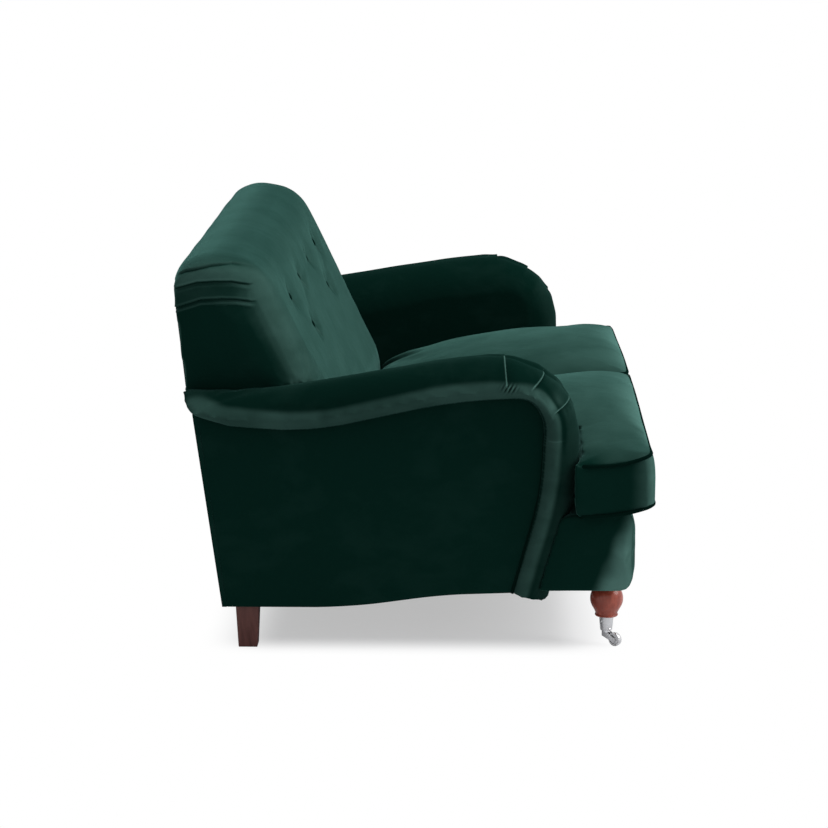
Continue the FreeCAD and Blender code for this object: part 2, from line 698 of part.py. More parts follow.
def build():
    os.makedirs("parts", exist_ok=True)

    # Arms
    core_solid = core(seat_half_width - 3.0, outside)
    roll = make_arm_roll(core_solid)
    cavity_from = seat_half_width + inside_pad_thickness
    inside_arm = core(seat_half_width, cavity_from)
    outside_arm = core(outside - panel_thickness, outside)
    piping_x = outside + piping_diameter * 0.3
    piping = tube(rounded_edges([place(piping_x, p) for p in piping_line]), piping_diameter)

    # Back frame
    post_from = cavity_from + 10.0
    post_to = post_from + post_width
    frame_top = back_height - back_frame_drop
    behind = -back_panel_thickness
    post = slab([
        (rear_y(rear_rail_bottom) + behind, rear_rail_bottom),
        (rear_y(frame_top) + behind, frame_top),
        (pad_y(frame_top), frame_top),
        (pad_y(back_bottom), back_bottom),
        (rear_y(rear_rail_bottom) + behind - post_width, rear_rail_bottom),
    ], post_from, post_to)
    upper = back_half_width - back_wrap
    back_panel = leaning_slab(rear_y, -outside, outside, hem_rear, shoulder_height, behind, 0.0)
    panel_top = frame_top - 5.0
    upper_panel = slab([
        (rear_y(shoulder_height) + behind, shoulder_height),
        (rear_y(shoulder_height) + back_rear_swell, shoulder_height),
        (rear_y(panel_top) + back_top_swell, panel_top),
        (rear_y(panel_top) + behind, panel_top),
    ], -upper, upper)
    back_panel = back_panel.fuse(upper_panel)
    back_panel = back_panel.removeSplitter()
    rail_back_y = strap_thickness + rail_thickness
    low_rail_from = back_bottom + 6.0
    low_rail_to = low_rail_from + back_rail_height
    top_rail_from = frame_top - back_rail_height
    top_rail = leaning_slab(pad_y, -post_from, post_from, top_rail_from, frame_top,
                            strap_thickness, rail_back_y)
    low_rail = leaning_slab(pad_y, -post_from, post_from, low_rail_from, low_rail_to,
                            strap_thickness, rail_back_y)
    low_rail = low_rail.cut(core(-outside, -seat_half_width)).cut(core(seat_half_width, outside))
    stay = leaning_slab(pad_y, -strap_width / 2, strap_width / 2, low_rail_to, top_rail_from,
                        strap_thickness, rail_back_y)
    straps = []
    for i in range(strap_count):
        x = (i - (strap_count - 1) / 2) * 2 * (post_from - 40.0) / strap_count
        straps.append(leaning_slab(pad_y, x - strap_width / 2, x + strap_width / 2, low_rail_from + 4.0,
                                   frame_top - 4.0, 0.0, strap_thickness))

    # Seat frame
    rail_drop = deck_thickness + clip_cover + spring_wire
    rail_front = border_front + border_padding
    rail_back = rail_front + rail_thickness
    rail_end = border_half_width - 2 * border_padding
    front_rail = slab([
        (rail_front, front_rail_bottom),
        (rail_back, front_rail_bottom),
        (rail_back, seat_line(rail_back, rail_drop)),
        (rail_front, seat_line(rail_front, rail_drop)),
    ], -rail_end, rail_end)
    rear_rail_to = rear_y(rear_rail_bottom) - back_panel_thickness
    rear_rail_from = rear_rail_to - rail_thickness
    rear_rail = slab([
        (rear_rail_from, rear_rail_bottom),
        (rear_rail_to, rear_rail_bottom),
        (rear_rail_to, seat_line(rear_rail_to, rail_drop)),
        (rear_rail_from, seat_line(rear_rail_from, rail_drop)),
    ], -seat_half_width, seat_half_width)
    block_to = rail_back + corner_block_depth
    rail_from_x = seat_half_width + side_rail_inset
    side_rail = slab([
        (block_to, front_rail_bottom),
        (rear_foot, rear_rail_bottom),
        (rear_foot, rear_rail_bottom + side_rail_height),
        (block_to, front_rail_bottom + side_rail_height),
    ], rail_from_x, post_to).cut(post)
    side_rail = max(side_rail.Solids, key=lambda s: s.Volume)
    stump_front = arm_front + stump_setback
    stump = box(post_to, post_to + post_width, stump_front, stump_front + stump_depth,
                front_rail_bottom, arm_height)
    arm_rail_foot = arm_height - roll_depth - arm_rail_height
    arm_rail = slab([
        (stump_front, arm_height),
        (rear_foot, arm_height),
        (rear_foot, arm_rail_foot - arm_dip + 12.0),
        (stump_front, arm_rail_foot - 12.0),
    ], rail_from_x, rail_from_x + arm_rail_width)
    arm_rail = arm_rail.common(core(rail_from_x, rail_from_x + arm_rail_width)).cut(post)
    stump = stump.cut(arm_rail).common(core(post_to, post_to + post_width))
    stump = max(stump.Solids, key=lambda s: s.Volume)
    roll = roll.cut(side_rail).cut(post)
    back_panel = back_panel.cut(roll).cut(mirrored(roll))
    front_block = box(rail_from_x, rail_end, rail_back, block_to,
                      front_rail_bottom, front_rail_bottom + corner_block_height)
    rear_block_from = rear_leg_y - rear_leg_top / 2 - 5.0
    rear_block = box(post_to, outside - panel_thickness, rear_block_from,
                     rear_rail_to - 4.0, rear_rail_bottom, rear_rail_bottom + corner_block_height)
    cross = slab([
        (rail_back, front_rail_bottom),
        (rear_rail_from, rear_rail_bottom),
        (rear_rail_from, seat_line(rear_rail_from, rail_drop + 8.0)),
        (rail_back, seat_line(rail_back, rail_drop + 8.0)),
    ], -rail_thickness / 2, rail_thickness / 2)

    # Bolts
    front_bolt = cylinder(bolt_radius, 2 * bolt_depth, (leg_x, front_leg_y, front_rail_bottom - bolt_depth))
    rear_bolt = cylinder(bolt_radius, 2 * bolt_depth, (rear_leg_x, rear_leg_y, rear_rail_bottom - bolt_depth))
    front_block = front_block.cut(front_bolt)
    rear_block = rear_block.cut(rear_bolt)
    front_leg = make_front_leg().cut(front_bolt)
    foot = Part.makePolygon([
        FreeCAD.Vector(rear_leg_x + sx * rear_leg_foot / 2, rear_leg_y + sy * rear_leg_foot / 2, 0)
        for sx, sy in ((-1, -1), (1, -1), (1, 1), (-1, 1), (-1, -1))
    ])
    head = Part.makePolygon([
        FreeCAD.Vector(rear_leg_x + sx * rear_leg_top / 2, rear_leg_y + sy * rear_leg_top / 2, rear_rail_bottom)
        for sx, sy in ((-1, -1), (1, -1), (1, 1), (-1, 1), (-1, -1))
    ])
    rear_leg = Part.makeLoft([foot, head], True, True).cut(rear_bolt)

    # Platform, springs and clips
    deck_start = (rail_front + rail_thickness / 2 - seat_front) / math.cos(slope)
    deck_end = (rear_rail_to - 2.0 - seat_front) / math.cos(slope)
    deck_half = seat_half_width - cushion_gap
    deck = seat_placed(box(-deck_half, deck_half, deck_start, deck_end, -deck_thickness, -cushion_gap))
    springs = []
    clips = []
    spacing = seat_half_width / springs_per_seat
    for seat in (-1, 1):
        for i in range(springs_per_seat):
            spring, ends = make_spring(seat * (i + 0.5) * spacing)
            springs.append(spring)
            for end, ahead in zip(ends, (1, -1)):
                clips.append(seat_placed(make_clip(end, ahead, spring)))
    springs = [seat_placed(s) for s in springs]

    # Front border over the rail
    border_top_front = seat_line(border_front, cushion_gap)
    border_corners = [
        (arm_front + border_return, border_bottom),
        (border_front, border_bottom),
        (border_front, border_top_front),
        (arm_front + border_return - 30.0, seat_line(arm_front + border_return - 30.0, cushion_gap)),
    ]
    border_corners = [place(-border_half_width, p) for p in border_corners]
    border_edges = rounded_edges(border_corners, radius=border_rounding)
    border_edges.append(Part.makeLine(border_corners[-1], border_corners[0]))
    border = prism(border_edges, -border_half_width, border_half_width)
    hollow = slab([
        (rail_front, 0.0),
        (rail_front, seat_line(rail_front, rail_drop)),
        (arm_front + 2 * border_return, seat_line(arm_front + 2 * border_return, rail_drop)),
        (arm_front + 2 * border_return, 0.0),
    ], -rail_end, rail_end)
    over_deck = box(-seat_half_width, seat_half_width, rail_front + rail_thickness / 2, 0.0, 0.0, arm_height)
    border = border.cut(hollow).cut(over_deck).cut(deck).cut(roll).cut(mirrored(roll))
    border = max(border.Solids, key=lambda s: s.Volume)

    # Dust cover under the frame
    under = [
        (rail_front + 5.0, front_rail_bottom),
        (rail_back, front_rail_bottom),
        (rear_block_from, rear_rail_bottom),
        (rear_rail_to - 2.0, rear_rail_bottom),
    ]
    under_low = [(y, z - dust_cover_thickness) for y, z in reversed(under)]
    cover_half = outside - panel_thickness
    dust_cover = slab(under + under_low, -cover_half, cover_half)
    below = under + [(rear_rail_to + 20.0, 0.0), (rail_front, 0.0)]
    below_arms = slab(below, seat_half_width - 1.0, cavity_from + 1.0)
    inside_arm = inside_arm.cut(below_arms)
    leg_holes = [
        cylinder(leg_neck_radius + 1.0, 30.0, (leg_x, front_leg_y, front_rail_bottom - 15.0)),
        box(rear_leg_x - rear_leg_top / 2, rear_leg_x + rear_leg_top / 2, rear_leg_y - rear_leg_top / 2,
            rear_leg_y + rear_leg_top / 2, rear_rail_bottom - 15.0, rear_rail_bottom + 15.0),
    ]
    for piece in [roll, border] + leg_holes:
        dust_cover = dust_cover.cut(piece).cut(mirrored(piece))
    dust_cover = max(dust_cover.Solids, key=lambda s: s.Volume)

    # Back upholstery
    buttons = make_buttons()
    frame_space = slab([
        (pad_y(0.0), 0.0),
        (rear_y(0.0) + behind, 0.0),
        (rear_y(frame_top) + behind, frame_top),
        (pad_y(frame_top), frame_top),
    ], -post_to, post_to)
    panel_space = leaning_slab(rear_y, -outside, outside, 0.0, shoulder_height,
                               behind, 4 * back_panel_thickness)
    panel_space = panel_space.fuse(upper_panel)
    arms = [roll, mirrored(roll), core_solid, mirrored(core_solid)]
    inside_back = make_inside_back(buttons + [frame_space] + arms + [panel_space])
    inside_back = max(inside_back.Solids, key=lambda s: s.Volume)

    save_pair("arm_roll", roll)
    save_pair("inside_arm", inside_arm)
    save_pair("outside_arm", outside_arm)
    save_pair("arm_piping", piping)
    save("inside_back", [inside_back])
    save("back_buttons", buttons)
    save("outside_back", [back_panel])
    save_pair("back_post", post)
    save("back_top_rail", [top_rail])
    save("back_lower_rail", [low_rail])
    save("back_centre_stay", [stay])
    save("back_webbing", straps)
    save("front_rail", [front_rail])
    save("rear_rail", [rear_rail])
    save("seat_cross_rail", [cross])
    save_pair("side_rail", side_rail)
    save_pair("arm_stump", stump)
    save_pair("arm_top_rail", arm_rail)
    save("corner_blocks", [front_block, mirrored(front_block), rear_block, mirrored(rear_block)])
    save("seat_springs", springs)
    save("spring_clips", clips)
    save("seat_deck", [deck])
    save("front_border", [border])
    save("dust_cover", [dust_cover])
    save_pair("front_leg", front_leg)
    save_pair("rear_leg", rear_leg)
    save("leg_bolts", [front_bolt, mirrored(front_bolt), rear_bolt, mirrored(rear_bolt)])
    save_pair("castor_cup", make_cup().cut(make_screw()))
    save("castor_screws", [make_screw(), mirrored(make_screw())])
    save_pair("castor_horn", make_horn())
    save_pair("castor_axle", make_axle())
    save_pair("castor_wheel", make_wheel())
    save_pair("seat_cushion", make_cushion())
    save_pair("cushion_piping", make_cushion_piping())


build()
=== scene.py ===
# %% [markdown]
# # An English roll arm sofa
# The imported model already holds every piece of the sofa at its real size: the wooden frame, the springs,
# the padding, the legs and the castors. This notebook dresses it. Soft pieces are copied from the model's
# plain solids, given a fine skin and blown up a little as cloth. Legs and castors are turned and bevelled
# again, finer than the model has them. What nobody sees, such as the rails and the springs, keeps its shape
# and gets a finish.
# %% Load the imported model
import math
from contextlib import contextmanager

import bpy
import numpy as np
from mathutils import Matrix, Vector, noise


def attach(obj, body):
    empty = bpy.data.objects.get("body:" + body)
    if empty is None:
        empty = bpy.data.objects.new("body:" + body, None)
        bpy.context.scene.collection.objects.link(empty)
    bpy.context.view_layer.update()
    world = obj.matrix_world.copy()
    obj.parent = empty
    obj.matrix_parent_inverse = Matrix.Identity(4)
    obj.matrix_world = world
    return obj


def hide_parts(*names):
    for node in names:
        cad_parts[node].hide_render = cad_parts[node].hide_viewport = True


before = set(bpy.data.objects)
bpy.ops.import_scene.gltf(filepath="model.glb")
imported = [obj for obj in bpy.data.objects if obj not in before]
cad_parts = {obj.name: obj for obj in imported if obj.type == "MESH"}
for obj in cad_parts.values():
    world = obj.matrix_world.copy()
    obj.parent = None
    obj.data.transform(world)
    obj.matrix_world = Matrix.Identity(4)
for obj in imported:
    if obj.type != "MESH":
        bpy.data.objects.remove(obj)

scene = bpy.context.scene
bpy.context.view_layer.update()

# %% [markdown]
# ## Camera
# The picture was taken from the sofa's left side and a little from above. Straight edges run to far
# vanishing points, so the lens is a long one: its length follows from the picture's width and the focal
# length in pixels.
# %% Camera
picture_width = 828
focal_pixels = 2490
sensor_width = 36.0
looking_down = math.radians(12.06)
looking_aside = math.radians(1.2374)
camera_data = bpy.data.cameras.new("camera")
camera_data.sensor_width = sensor_width
camera_data.lens = sensor_width * focal_pixels / picture_width
camera = bpy.data.objects.new("camera", camera_data)
camera.location = (-5.7789, -0.107, 1.5823)
camera.rotation_euler = (math.pi / 2 - looking_down, 0, looking_aside - math.pi / 2)
scene.collection.objects.link(camera)
scene.camera = camera
scene.view_settings.view_transform = "Standard"
print("lens", round(camera_data.lens, 1), "mm")

# %% [markdown]
# ## Shader sums written as Python
# A material is a tree of nodes, and long sums of Math nodes are hard to read. `Value` wraps one socket, and
# the usual operators add the Math nodes for it. Every other node comes from `Finish.node`: it sets the
# node's own settings first and then fills its sockets with numbers or with other values.
# %% Value and Finish
class Value:
    """One output socket in a material, which adds, subtracts and multiplies like a number."""

    def __init__(self, finish, socket):
        self.finish = finish
        self.socket = socket

    def sum(self, operation, first, second):
        return self.finish.node("Math", {"operation": operation}, {0: first, 1: second})

    def __add__(self, other):
        return self.sum("ADD", self, other)

    def __sub__(self, other):
        return self.sum("SUBTRACT", self, other)

    def __rsub__(self, other):
        return self.sum("SUBTRACT", other, self)

    def __mul__(self, other):
        return self.sum("MULTIPLY", self, other)

    __radd__ = __add__
    __rmul__ = __mul__


class Finish:
    """A material under construction, with constant values set on its Principled shader."""

    def __init__(self, name, constants):
        self.material = bpy.data.materials.new(name)
        self.material.use_nodes = True
        self.tree = self.material.node_tree
        self.shader = self.tree.nodes["Principled BSDF"]
        for socket, value in constants.items():
            self.shader.inputs[socket].default_value = value
        self.place = self.node("TexCoord", output="Object")

    def node(self, kind, settings=None, sockets=None, output=0):
        made = self.tree.nodes.new("ShaderNode" + kind)
        for name, value in (settings or {}).items():
            if name == "stops":
                self.set_stops(made.color_ramp, value)
            else:
                setattr(made, name, value)
        for name, value in (sockets or {}).items():
            self.fill(made.inputs[name], value)
        return Value(self, made.outputs[output])

    def fill(self, socket, value):
        if isinstance(value, Value):
            self.tree.links.new(value.socket, socket)
        else:
            socket.default_value = value

    def set_stops(self, ramp, stops):
        while len(ramp.elements) < len(stops):
            ramp.elements.new(1.0)
        for element, (position, colour) in zip(ramp.elements, stops):
            element.position = position
            element.color = (*colour, 1.0)

    def stretched(self, scale, turn=(0, 0, 0)):
        return self.node("Mapping", {}, {"Vector": self.place, "Scale": scale, "Rotation": turn})

    def noise(self, scale, detail=3.0, roughness=0.5, distortion=0.0, place=None):
        sockets = {"Vector": place or self.place, "Scale": scale, "Detail": detail,
                   "Roughness": roughness, "Distortion": distortion}
        return self.node("TexNoise", {}, sockets)

    def band(self, value, low, high):
        """0 below low, 1 above high, and a smooth rise between."""
        sockets = {"Value": value, "From Min": low, "From Max": high}
        return self.node("MapRange", {"interpolation_type": "SMOOTHSTEP"}, sockets)

    def mix(self, factor, first, second):
        sockets = {0: factor, 6: first, 7: second}
        return self.node("Mix", {"data_type": "RGBA"}, sockets, 2)

    def bump(self, height, distance, under=None):
        sockets = {"Height": height, "Distance": distance, "Strength": 1.0}
        if under:
            sockets["Normal"] = under
        return self.node("Bump", {}, sockets)

    def done(self, **sockets):
        for name, value in sockets.items():
            self.fill(self.shader.inputs[name.replace("_", " ")], value)
        return self.material


# %% [markdown]
# ## Velvet
# Velvet is dark where it is seen face on, because the light sinks between its upright fibres, and it turns
# pale where it is seen edge on, because the fibres' tips catch the light. A very dark base colour with the
# shader's sheen does the same. On top of that, each piece carries a number on its points, from 0 for dark
# to 1 for pale, which is painted light and shade: faces turned to the lamps, lit bands and fold edges are
# painted paler, and creases and corners in shade are painted darker. Slow noise breaks it into patches,
# and a fine short grain gives the fibres.
# %% Velvet
velvet_dark = (0.0022, 0.0150, 0.0108)
velvet_lit_colour = (0.0900, 0.1900, 0.1620)


def velvet(name, sheen, patches, painted_shade_scale=1.0):
    finish = Finish(name, {
        "Sheen Weight": sheen,
        "Sheen Roughness": 0.32,
        "Sheen Tint": (0.38, 0.92, 0.80, 1.0),
        "Specular IOR Level": 0.0,
    })
    brushed = finish.noise(3.4, 4.0, 0.6, 0.8)
    strokes = finish.noise(7.0, 3.0, 0.55, 0.3, finish.stretched((1.0, 1.6, 3.2), (0.3, 0.2, 0.1)))
    pile = finish.band(brushed * 0.6 + strokes * 0.4, 0.36, 0.64)
    fibres = finish.noise(850.0, 2.0, 0.6)
    nap = finish.node("Attribute", {"attribute_name": "nap"}, output="Fac")
    # The painted light and shade sets the colour between dark and pale, and the pile's patches and fibres
    # vary it.
    lean = nap + (pile - 0.5) * (nap * 0.3 + patches) + (fibres - 0.5) * 0.012
    # Painted shade: a scale below 1 darkens the whole base colour of a copy.
    darkest = tuple(painted_shade_scale * c for c in velvet_dark)
    colour = finish.mix(lean, (*darkest, 1), (*velvet_lit_colour, 1))
    creep = finish.noise(24.0, 2.0, 0.5)
    ruffle = finish.noise(120.0, 3.0, 0.6)
    relief = finish.bump(creep, 0.0010)
    relief = finish.bump(ruffle, 0.0003, relief)
    relief = finish.bump(fibres, 0.0002, relief)
    return finish.done(Base_Color=colour, Roughness=0.7 + pile * 0.2, Normal=relief)


# The arm velvet and the trim velvet are darker copies of the cover velvet, with painted shade for the dark
# roll tops and the dark piping and button lines.
cover_velvet = velvet("cover velvet", 0.24, 0.03)
shaded_arm_velvet = velvet("arm velvet with painted shade", 0.05, 0.03, 0.7)
shaded_trim_velvet = velvet("trim velvet with painted shade", 0.02, 0.005, 0.5)
print("velvet materials", cover_velvet.name, shaded_arm_velvet.name, shaded_trim_velvet.name)

# %% [markdown]
# ## Wood, metal and plain cloth
# The turned front legs are stained mahogany under a clear varnish, the rear legs a darker stain, and the
# frame is bare planed timber. Grain is noise drawn out along the length of the wood. Plain cloth is woven:
# two sets of fine stripes at right angles raise it in turn.
# %% Wood, metal and cloth
def wood(name, dark, light, varnish, along):
    finish = Finish(name, {"Coat Weight": varnish, "Coat Roughness": 0.08, "Specular IOR Level": 0.2})
    place = finish.stretched(along)
    rings = finish.noise(9.0, 4.0, 0.6, 1.5, place)
    pores = finish.noise(70.0, 3.0, 0.7, 0.2, place)
    grain = rings * 0.7 + pores * 0.3
    colour = finish.mix(finish.band(grain, 0.35, 0.65), (*dark, 1), (*light, 1))
    return finish.done(Base_Color=colour, Roughness=0.32 + pores * 0.25, Normal=finish.bump(pores, 0.0002))


def metal(name, colour, roughness):
    finish = Finish(name, {"Metallic": 1.0})
    wear = finish.noise(90.0, 3.0, 0.6)
    shade = finish.mix(wear, (*colour, 1), tuple(c * 0.8 for c in colour) + (1,))
    return finish.done(Base_Color=shade, Roughness=roughness + wear * 0.08, Normal=finish.bump(wear, 0.00003))


def woven(name, dark, light, threads):
    finish = Finish(name, {"Roughness": 0.9, "Specular IOR Level": 0.1})
    warp = finish.node("TexWave", {"bands_direction": "X"}, {"Vector": finish.place, "Scale": threads})
    weft = finish.node("TexWave", {"bands_direction": "Y"}, {"Vector": finish.place, "Scale": threads})
    height = warp * weft
    stain = finish.noise(5.0, 3.0, 0.6)
    colour = finish.mix(height * 0.5 + stain * 0.5, (*dark, 1), (*light, 1))
    return finish.done(Base_Color=colour, Normal=finish.bump(height, 0.0004))


mahogany = wood("mahogany", (0.180, 0.030, 0.016), (0.380, 0.082, 0.048), 0.35, (1.0, 1.0, 0.25))
dark_wood = wood("dark stained wood", (0.056, 0.0190, 0.0150), (0.125, 0.0480, 0.0400), 0.0, (1.0, 1.0, 0.2))
frame_wood = wood("planed timber", (0.33, 0.21, 0.11), (0.52, 0.36, 0.21), 0.0, (0.2, 1.0, 1.0))
chrome = metal("chrome", (0.66, 0.66, 0.67), 0.05)
steel = metal("spring steel", (0.30, 0.30, 0.31), 0.35)
jute = woven("jute webbing", (0.20, 0.13, 0.07), (0.42, 0.31, 0.19), 500.0)
platform_cloth = woven("platform cloth", (0.0020, 0.0100, 0.0080), (0.0060, 0.0240, 0.0190), 600.0)
dust_cloth = woven("dust cloth", (0.006, 0.006, 0.006), (0.020, 0.020, 0.020), 700.0)
print("wood, metal and cloth are ready")

# %% [markdown]
# ## Helpers for meshes
# Operators work on what is selected, so `only` selects one object, and `editing` switches edit mode on
# around a few of them. The shape of a soft piece is then worked on as an array of points, which `points_of`
# reads and `set_points` writes back.
# %% Helpers for meshes
def only(piece):
    bpy.ops.object.select_all(action="DESELECT")
    piece.select_set(True)
    bpy.context.view_layer.objects.active = piece


@contextmanager
def editing():
    bpy.ops.object.mode_set(mode="EDIT")
    yield
    bpy.ops.object.mode_set(mode="OBJECT")


def apply_modifiers(piece):
    only(piece)
    for modifier in list(piece.modifiers):
        bpy.ops.object.modifier_apply(modifier=modifier.name)


def points_of(piece):
    flat = np.empty(len(piece.data.vertices) * 3)
    piece.data.vertices.foreach_get("co", flat)
    return flat.reshape(-1, 3)


def set_points(piece, points):
    piece.data.vertices.foreach_set("co", points.ravel())
    piece.data.update()


def normals_of(piece):
    flat = np.empty(len(piece.data.vertices) * 3)
    piece.data.vertex_normals.foreach_get("vector", flat)
    return flat.reshape(-1, 3)


def shape_of(piece):
    return points_of(piece), normals_of(piece)


def add_group(piece, name, chosen):
    group = piece.vertex_groups.new(name=name)
    group.add([int(i) for i in np.flatnonzero(chosen)], 1.0, "REPLACE")


def rise(value, low, high):
    """0 below low, 1 above high, and a smooth rise between."""
    share = np.clip((value - low) / (high - low), 0.0, 1.0)
    return share * share * (3.0 - 2.0 * share)


def hill(distance, width):
    return np.exp(-(distance / width) ** 2)


def lumps(points, size, seed=0.0):
    """Smooth noise from -1 to 1 at each point, with lumps of a size in metres."""
    shift = Vector((seed * 7.31, seed * 3.17, seed * 5.73))
    return np.array([noise.noise(Vector(p) / size + shift) for p in points])


def paint_shading(piece, nap):
    """Writes painted light and shade at each point of a piece, from 0 for dark to 1 for pale."""
    layer = piece.data.attributes.new("nap", "FLOAT", "POINT")
    layer.data.foreach_set("value", np.broadcast_to(nap, len(piece.data.vertices)).astype(np.float32))


def refine(piece, wanted):
    """Cuts each face whose points are all wanted into four."""
    data = piece.data
    corners = np.empty(len(data.loops), dtype=np.int32)
    data.loops.foreach_get("vertex_index", corners)
    starts = np.empty(len(data.polygons), dtype=np.int32)
    data.polygons.foreach_get("loop_start", starts)
    chosen = np.minimum.reduceat(wanted[corners].astype(np.int8), starts) > 0
    data.vertices.foreach_set("select", np.zeros(len(data.vertices), dtype=bool))
    data.edges.foreach_set("select", np.zeros(len(data.edges), dtype=bool))
    data.polygons.foreach_set("select", chosen)
    only(piece)
    bpy.context.tool_settings.mesh_select_mode = (False, False, True)
    with editing():
        bpy.ops.mesh.subdivide(number_cuts=1)


def dress(piece, body, slot, material):
    """Gives a finished piece its body and its material. Its slot is not used."""
    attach(piece, body)
    piece.data.materials.clear()
    piece.data.materials.append(material)
    return piece


# %% [markdown]
# ## From a plain solid to a stuffed cover
# A cushion's cover is sewn to a shape and then stuffed, so it pushes out between its seams. `soft_copy`
# copies one of the model's solids and gives it an even skin of small squares. `stuff` holds the seams still
# and blows the rest up with the cloth simulation. A cap keeps each point near its start, so the cover can't
# reach its neighbours.
# %% Soft copies and stuffing
def plain_copy(nodes, name):
    """One mesh with the shapes of one or more of the model's nodes, with its points joined up."""
    parts = []
    for node in nodes:
        part = bpy.data.objects.new(name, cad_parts[node].data.copy())
        scene.collection.objects.link(part)
        parts.append(part)
    only(parts[0])
    for part in parts:
        part.select_set(True)
    if len(parts) > 1:
        bpy.ops.object.join()
    piece = parts[0]
    piece.name = name
    only(piece)
    with editing():
        bpy.ops.mesh.select_all(action="SELECT")
        bpy.ops.mesh.remove_doubles(threshold=0.00002)
        bpy.ops.mesh.customdata_custom_splitnormals_clear()
    return piece


def soft_copy(nodes, name, voxel, inset=0.0):
    piece = plain_copy(nodes, name)
    remesh = piece.modifiers.new("skin", "REMESH")
    remesh.mode = "VOXEL"
    remesh.voxel_size = voxel
    remesh.use_smooth_shade = True
    apply_modifiers(piece)
    set_points(piece, points_of(piece) - inset * normals_of(piece))
    return piece


velvet_cloth = {
    "quality": 4, "mass": 0.3, "tension_stiffness": 15.0, "compression_stiffness": 15.0,
    "shear_stiffness": 5.0, "bending_stiffness": 3.0, "use_pressure": True, "vertex_group_mass": "held",
}
stuffing_frames = 20


def stuff(piece, held, pressure, cap):
    """Blows a cover up between the points that are held. No point moves further than the cap."""
    start = points_of(piece)
    add_group(piece, "held", held)
    cloth = piece.modifiers.new("cloth", "CLOTH")
    for name, value in velvet_cloth.items():
        setattr(cloth.settings, name, value)
    cloth.settings.uniform_pressure_force = pressure
    cloth.settings.effector_weights.gravity = 0.0
    cloth.collision_settings.use_collision = False
    for number in range(1, stuffing_frames + 1):
        scene.frame_set(number)
    apply_modifiers(piece)
    scene.frame_set(1)
    piece.vertex_groups.clear()
    moved = points_of(piece) - start
    length = np.linalg.norm(moved, axis=1, keepdims=True)
    moved *= np.minimum(1.0, cap / np.maximum(length, 1e-9))
    set_points(piece, start + moved)
    print(piece.name, "moved by up to", round(float(length.max()) * 1000, 1), "mm before the cap")


crease_angle = math.radians(35.0)


def crisp_copy(nodes, name, bevel, step=None):
    """A copy with small round bevels on its edges. A step cuts its flat faces into a grid as well."""
    piece = plain_copy(nodes, name)
    with editing():
        bpy.ops.mesh.select_all(action="SELECT")
        bpy.ops.mesh.dissolve_limited(angle_limit=math.radians(1.0))
    edges = piece.modifiers.new("edges", "BEVEL")
    edges.width = bevel
    edges.segments = 3
    edges.limit_method = "ANGLE"
    edges.angle_limit = math.radians(40.0)
    apply_modifiers(piece)
    if step:
        low, high = points_of(piece).min(0), points_of(piece).max(0)
        with editing():
            for axis in range(3):
                normal = [float(i == axis) for i in range(3)]
                count = int((high[axis] - low[axis]) / step)
                for k in range(1, count + 1):
                    place = low[axis] + (high[axis] - low[axis]) * k / (count + 1)
                    bpy.ops.mesh.select_all(action="SELECT")
                    bpy.ops.mesh.bisect(plane_co=[place * n for n in normal], plane_no=normal)
    only(piece)
    bpy.ops.object.shade_smooth_by_angle(angle=crease_angle)
    return piece


def smooth(piece, wanted, rounds):
    """Rounds off the shape between the wanted points."""
    add_group(piece, "wanted", wanted)
    ease = piece.modifiers.new("ease", "SMOOTH")
    ease.iterations = rounds
    ease.vertex_group = "wanted"
    apply_modifiers(piece)
    piece.vertex_groups.clear()


def subdivide(piece):
    finer = piece.modifiers.new("finer", "SUBSURF")
    finer.levels = 1
    finer.render_levels = 1
    apply_modifiers(piece)


def mirrored_copy(piece, name):
    twin = bpy.data.objects.new(name, piece.data.copy())
    scene.collection.objects.link(twin)
    set_points(twin, points_of(twin) * (-1, 1, 1))
    twin.data.flip_normals()
    return twin


# %% [markdown]
# ## Piping
# Piping is a cord sewn into a seam under a strip of the cover. It is drawn as a curve with a round bevel,
# because the seam already says where it runs, and then made a mesh. `rounded` turns the corners of a seam
# into arcs.
# %% Piping
def rounded(corners, step, closed=False, radii=None):
    """Points along straight runs with rounded corners, evenly spaced. Corners are 3-D points."""
    corners = [Vector(c) for c in corners]
    count = len(corners)
    dense = []
    for i, here in enumerate(corners):
        if not closed and i in (0, count - 1):
            dense.append(here)
            continue
        before = corners[i - 1] - here
        after = corners[(i + 1) % count] - here
        cut = 0.45 * min(before.length, after.length)
        if radii:
            cut = min(cut, radii[i])
        for t in np.linspace(0.0, 1.0, 9):
            arriving = here + before.normalized() * cut * (1 - t)
            leaving = here + after.normalized() * cut * t
            dense.append(arriving.lerp(leaving, t))
    if closed:
        dense.append(dense[0])
    dense = np.array(dense)
    lengths = np.concatenate([[0.0], np.cumsum(np.linalg.norm(np.diff(dense, axis=0), axis=1))])
    wanted = np.linspace(0.0, lengths[-1], max(8, int(lengths[-1] / step)) + 1)
    even = np.stack([np.interp(wanted, lengths, dense[:, k]) for k in range(3)], axis=1)
    return even[:-1] if closed else even


def piping(name, runs, thickness, closed=False):
    """One or more cords of round piping through lists of points, as one mesh."""
    data = bpy.data.curves.new(name, "CURVE")
    data.dimensions = "3D"
    data.bevel_depth = thickness / 2
    data.bevel_resolution = 2
    data.use_fill_caps = True
    for run in runs:
        spline = data.splines.new("POLY")
        spline.points.add(len(run) - 1)
        for point, place in zip(spline.points, run):
            point.co = (*place, 1.0)
        spline.use_cyclic_u = closed
    cord = bpy.data.objects.new(name, data)
    scene.collection.objects.link(cord)
    only(cord)
    bpy.ops.object.convert(target="MESH")
    cord.data.shade_smooth()
    return cord


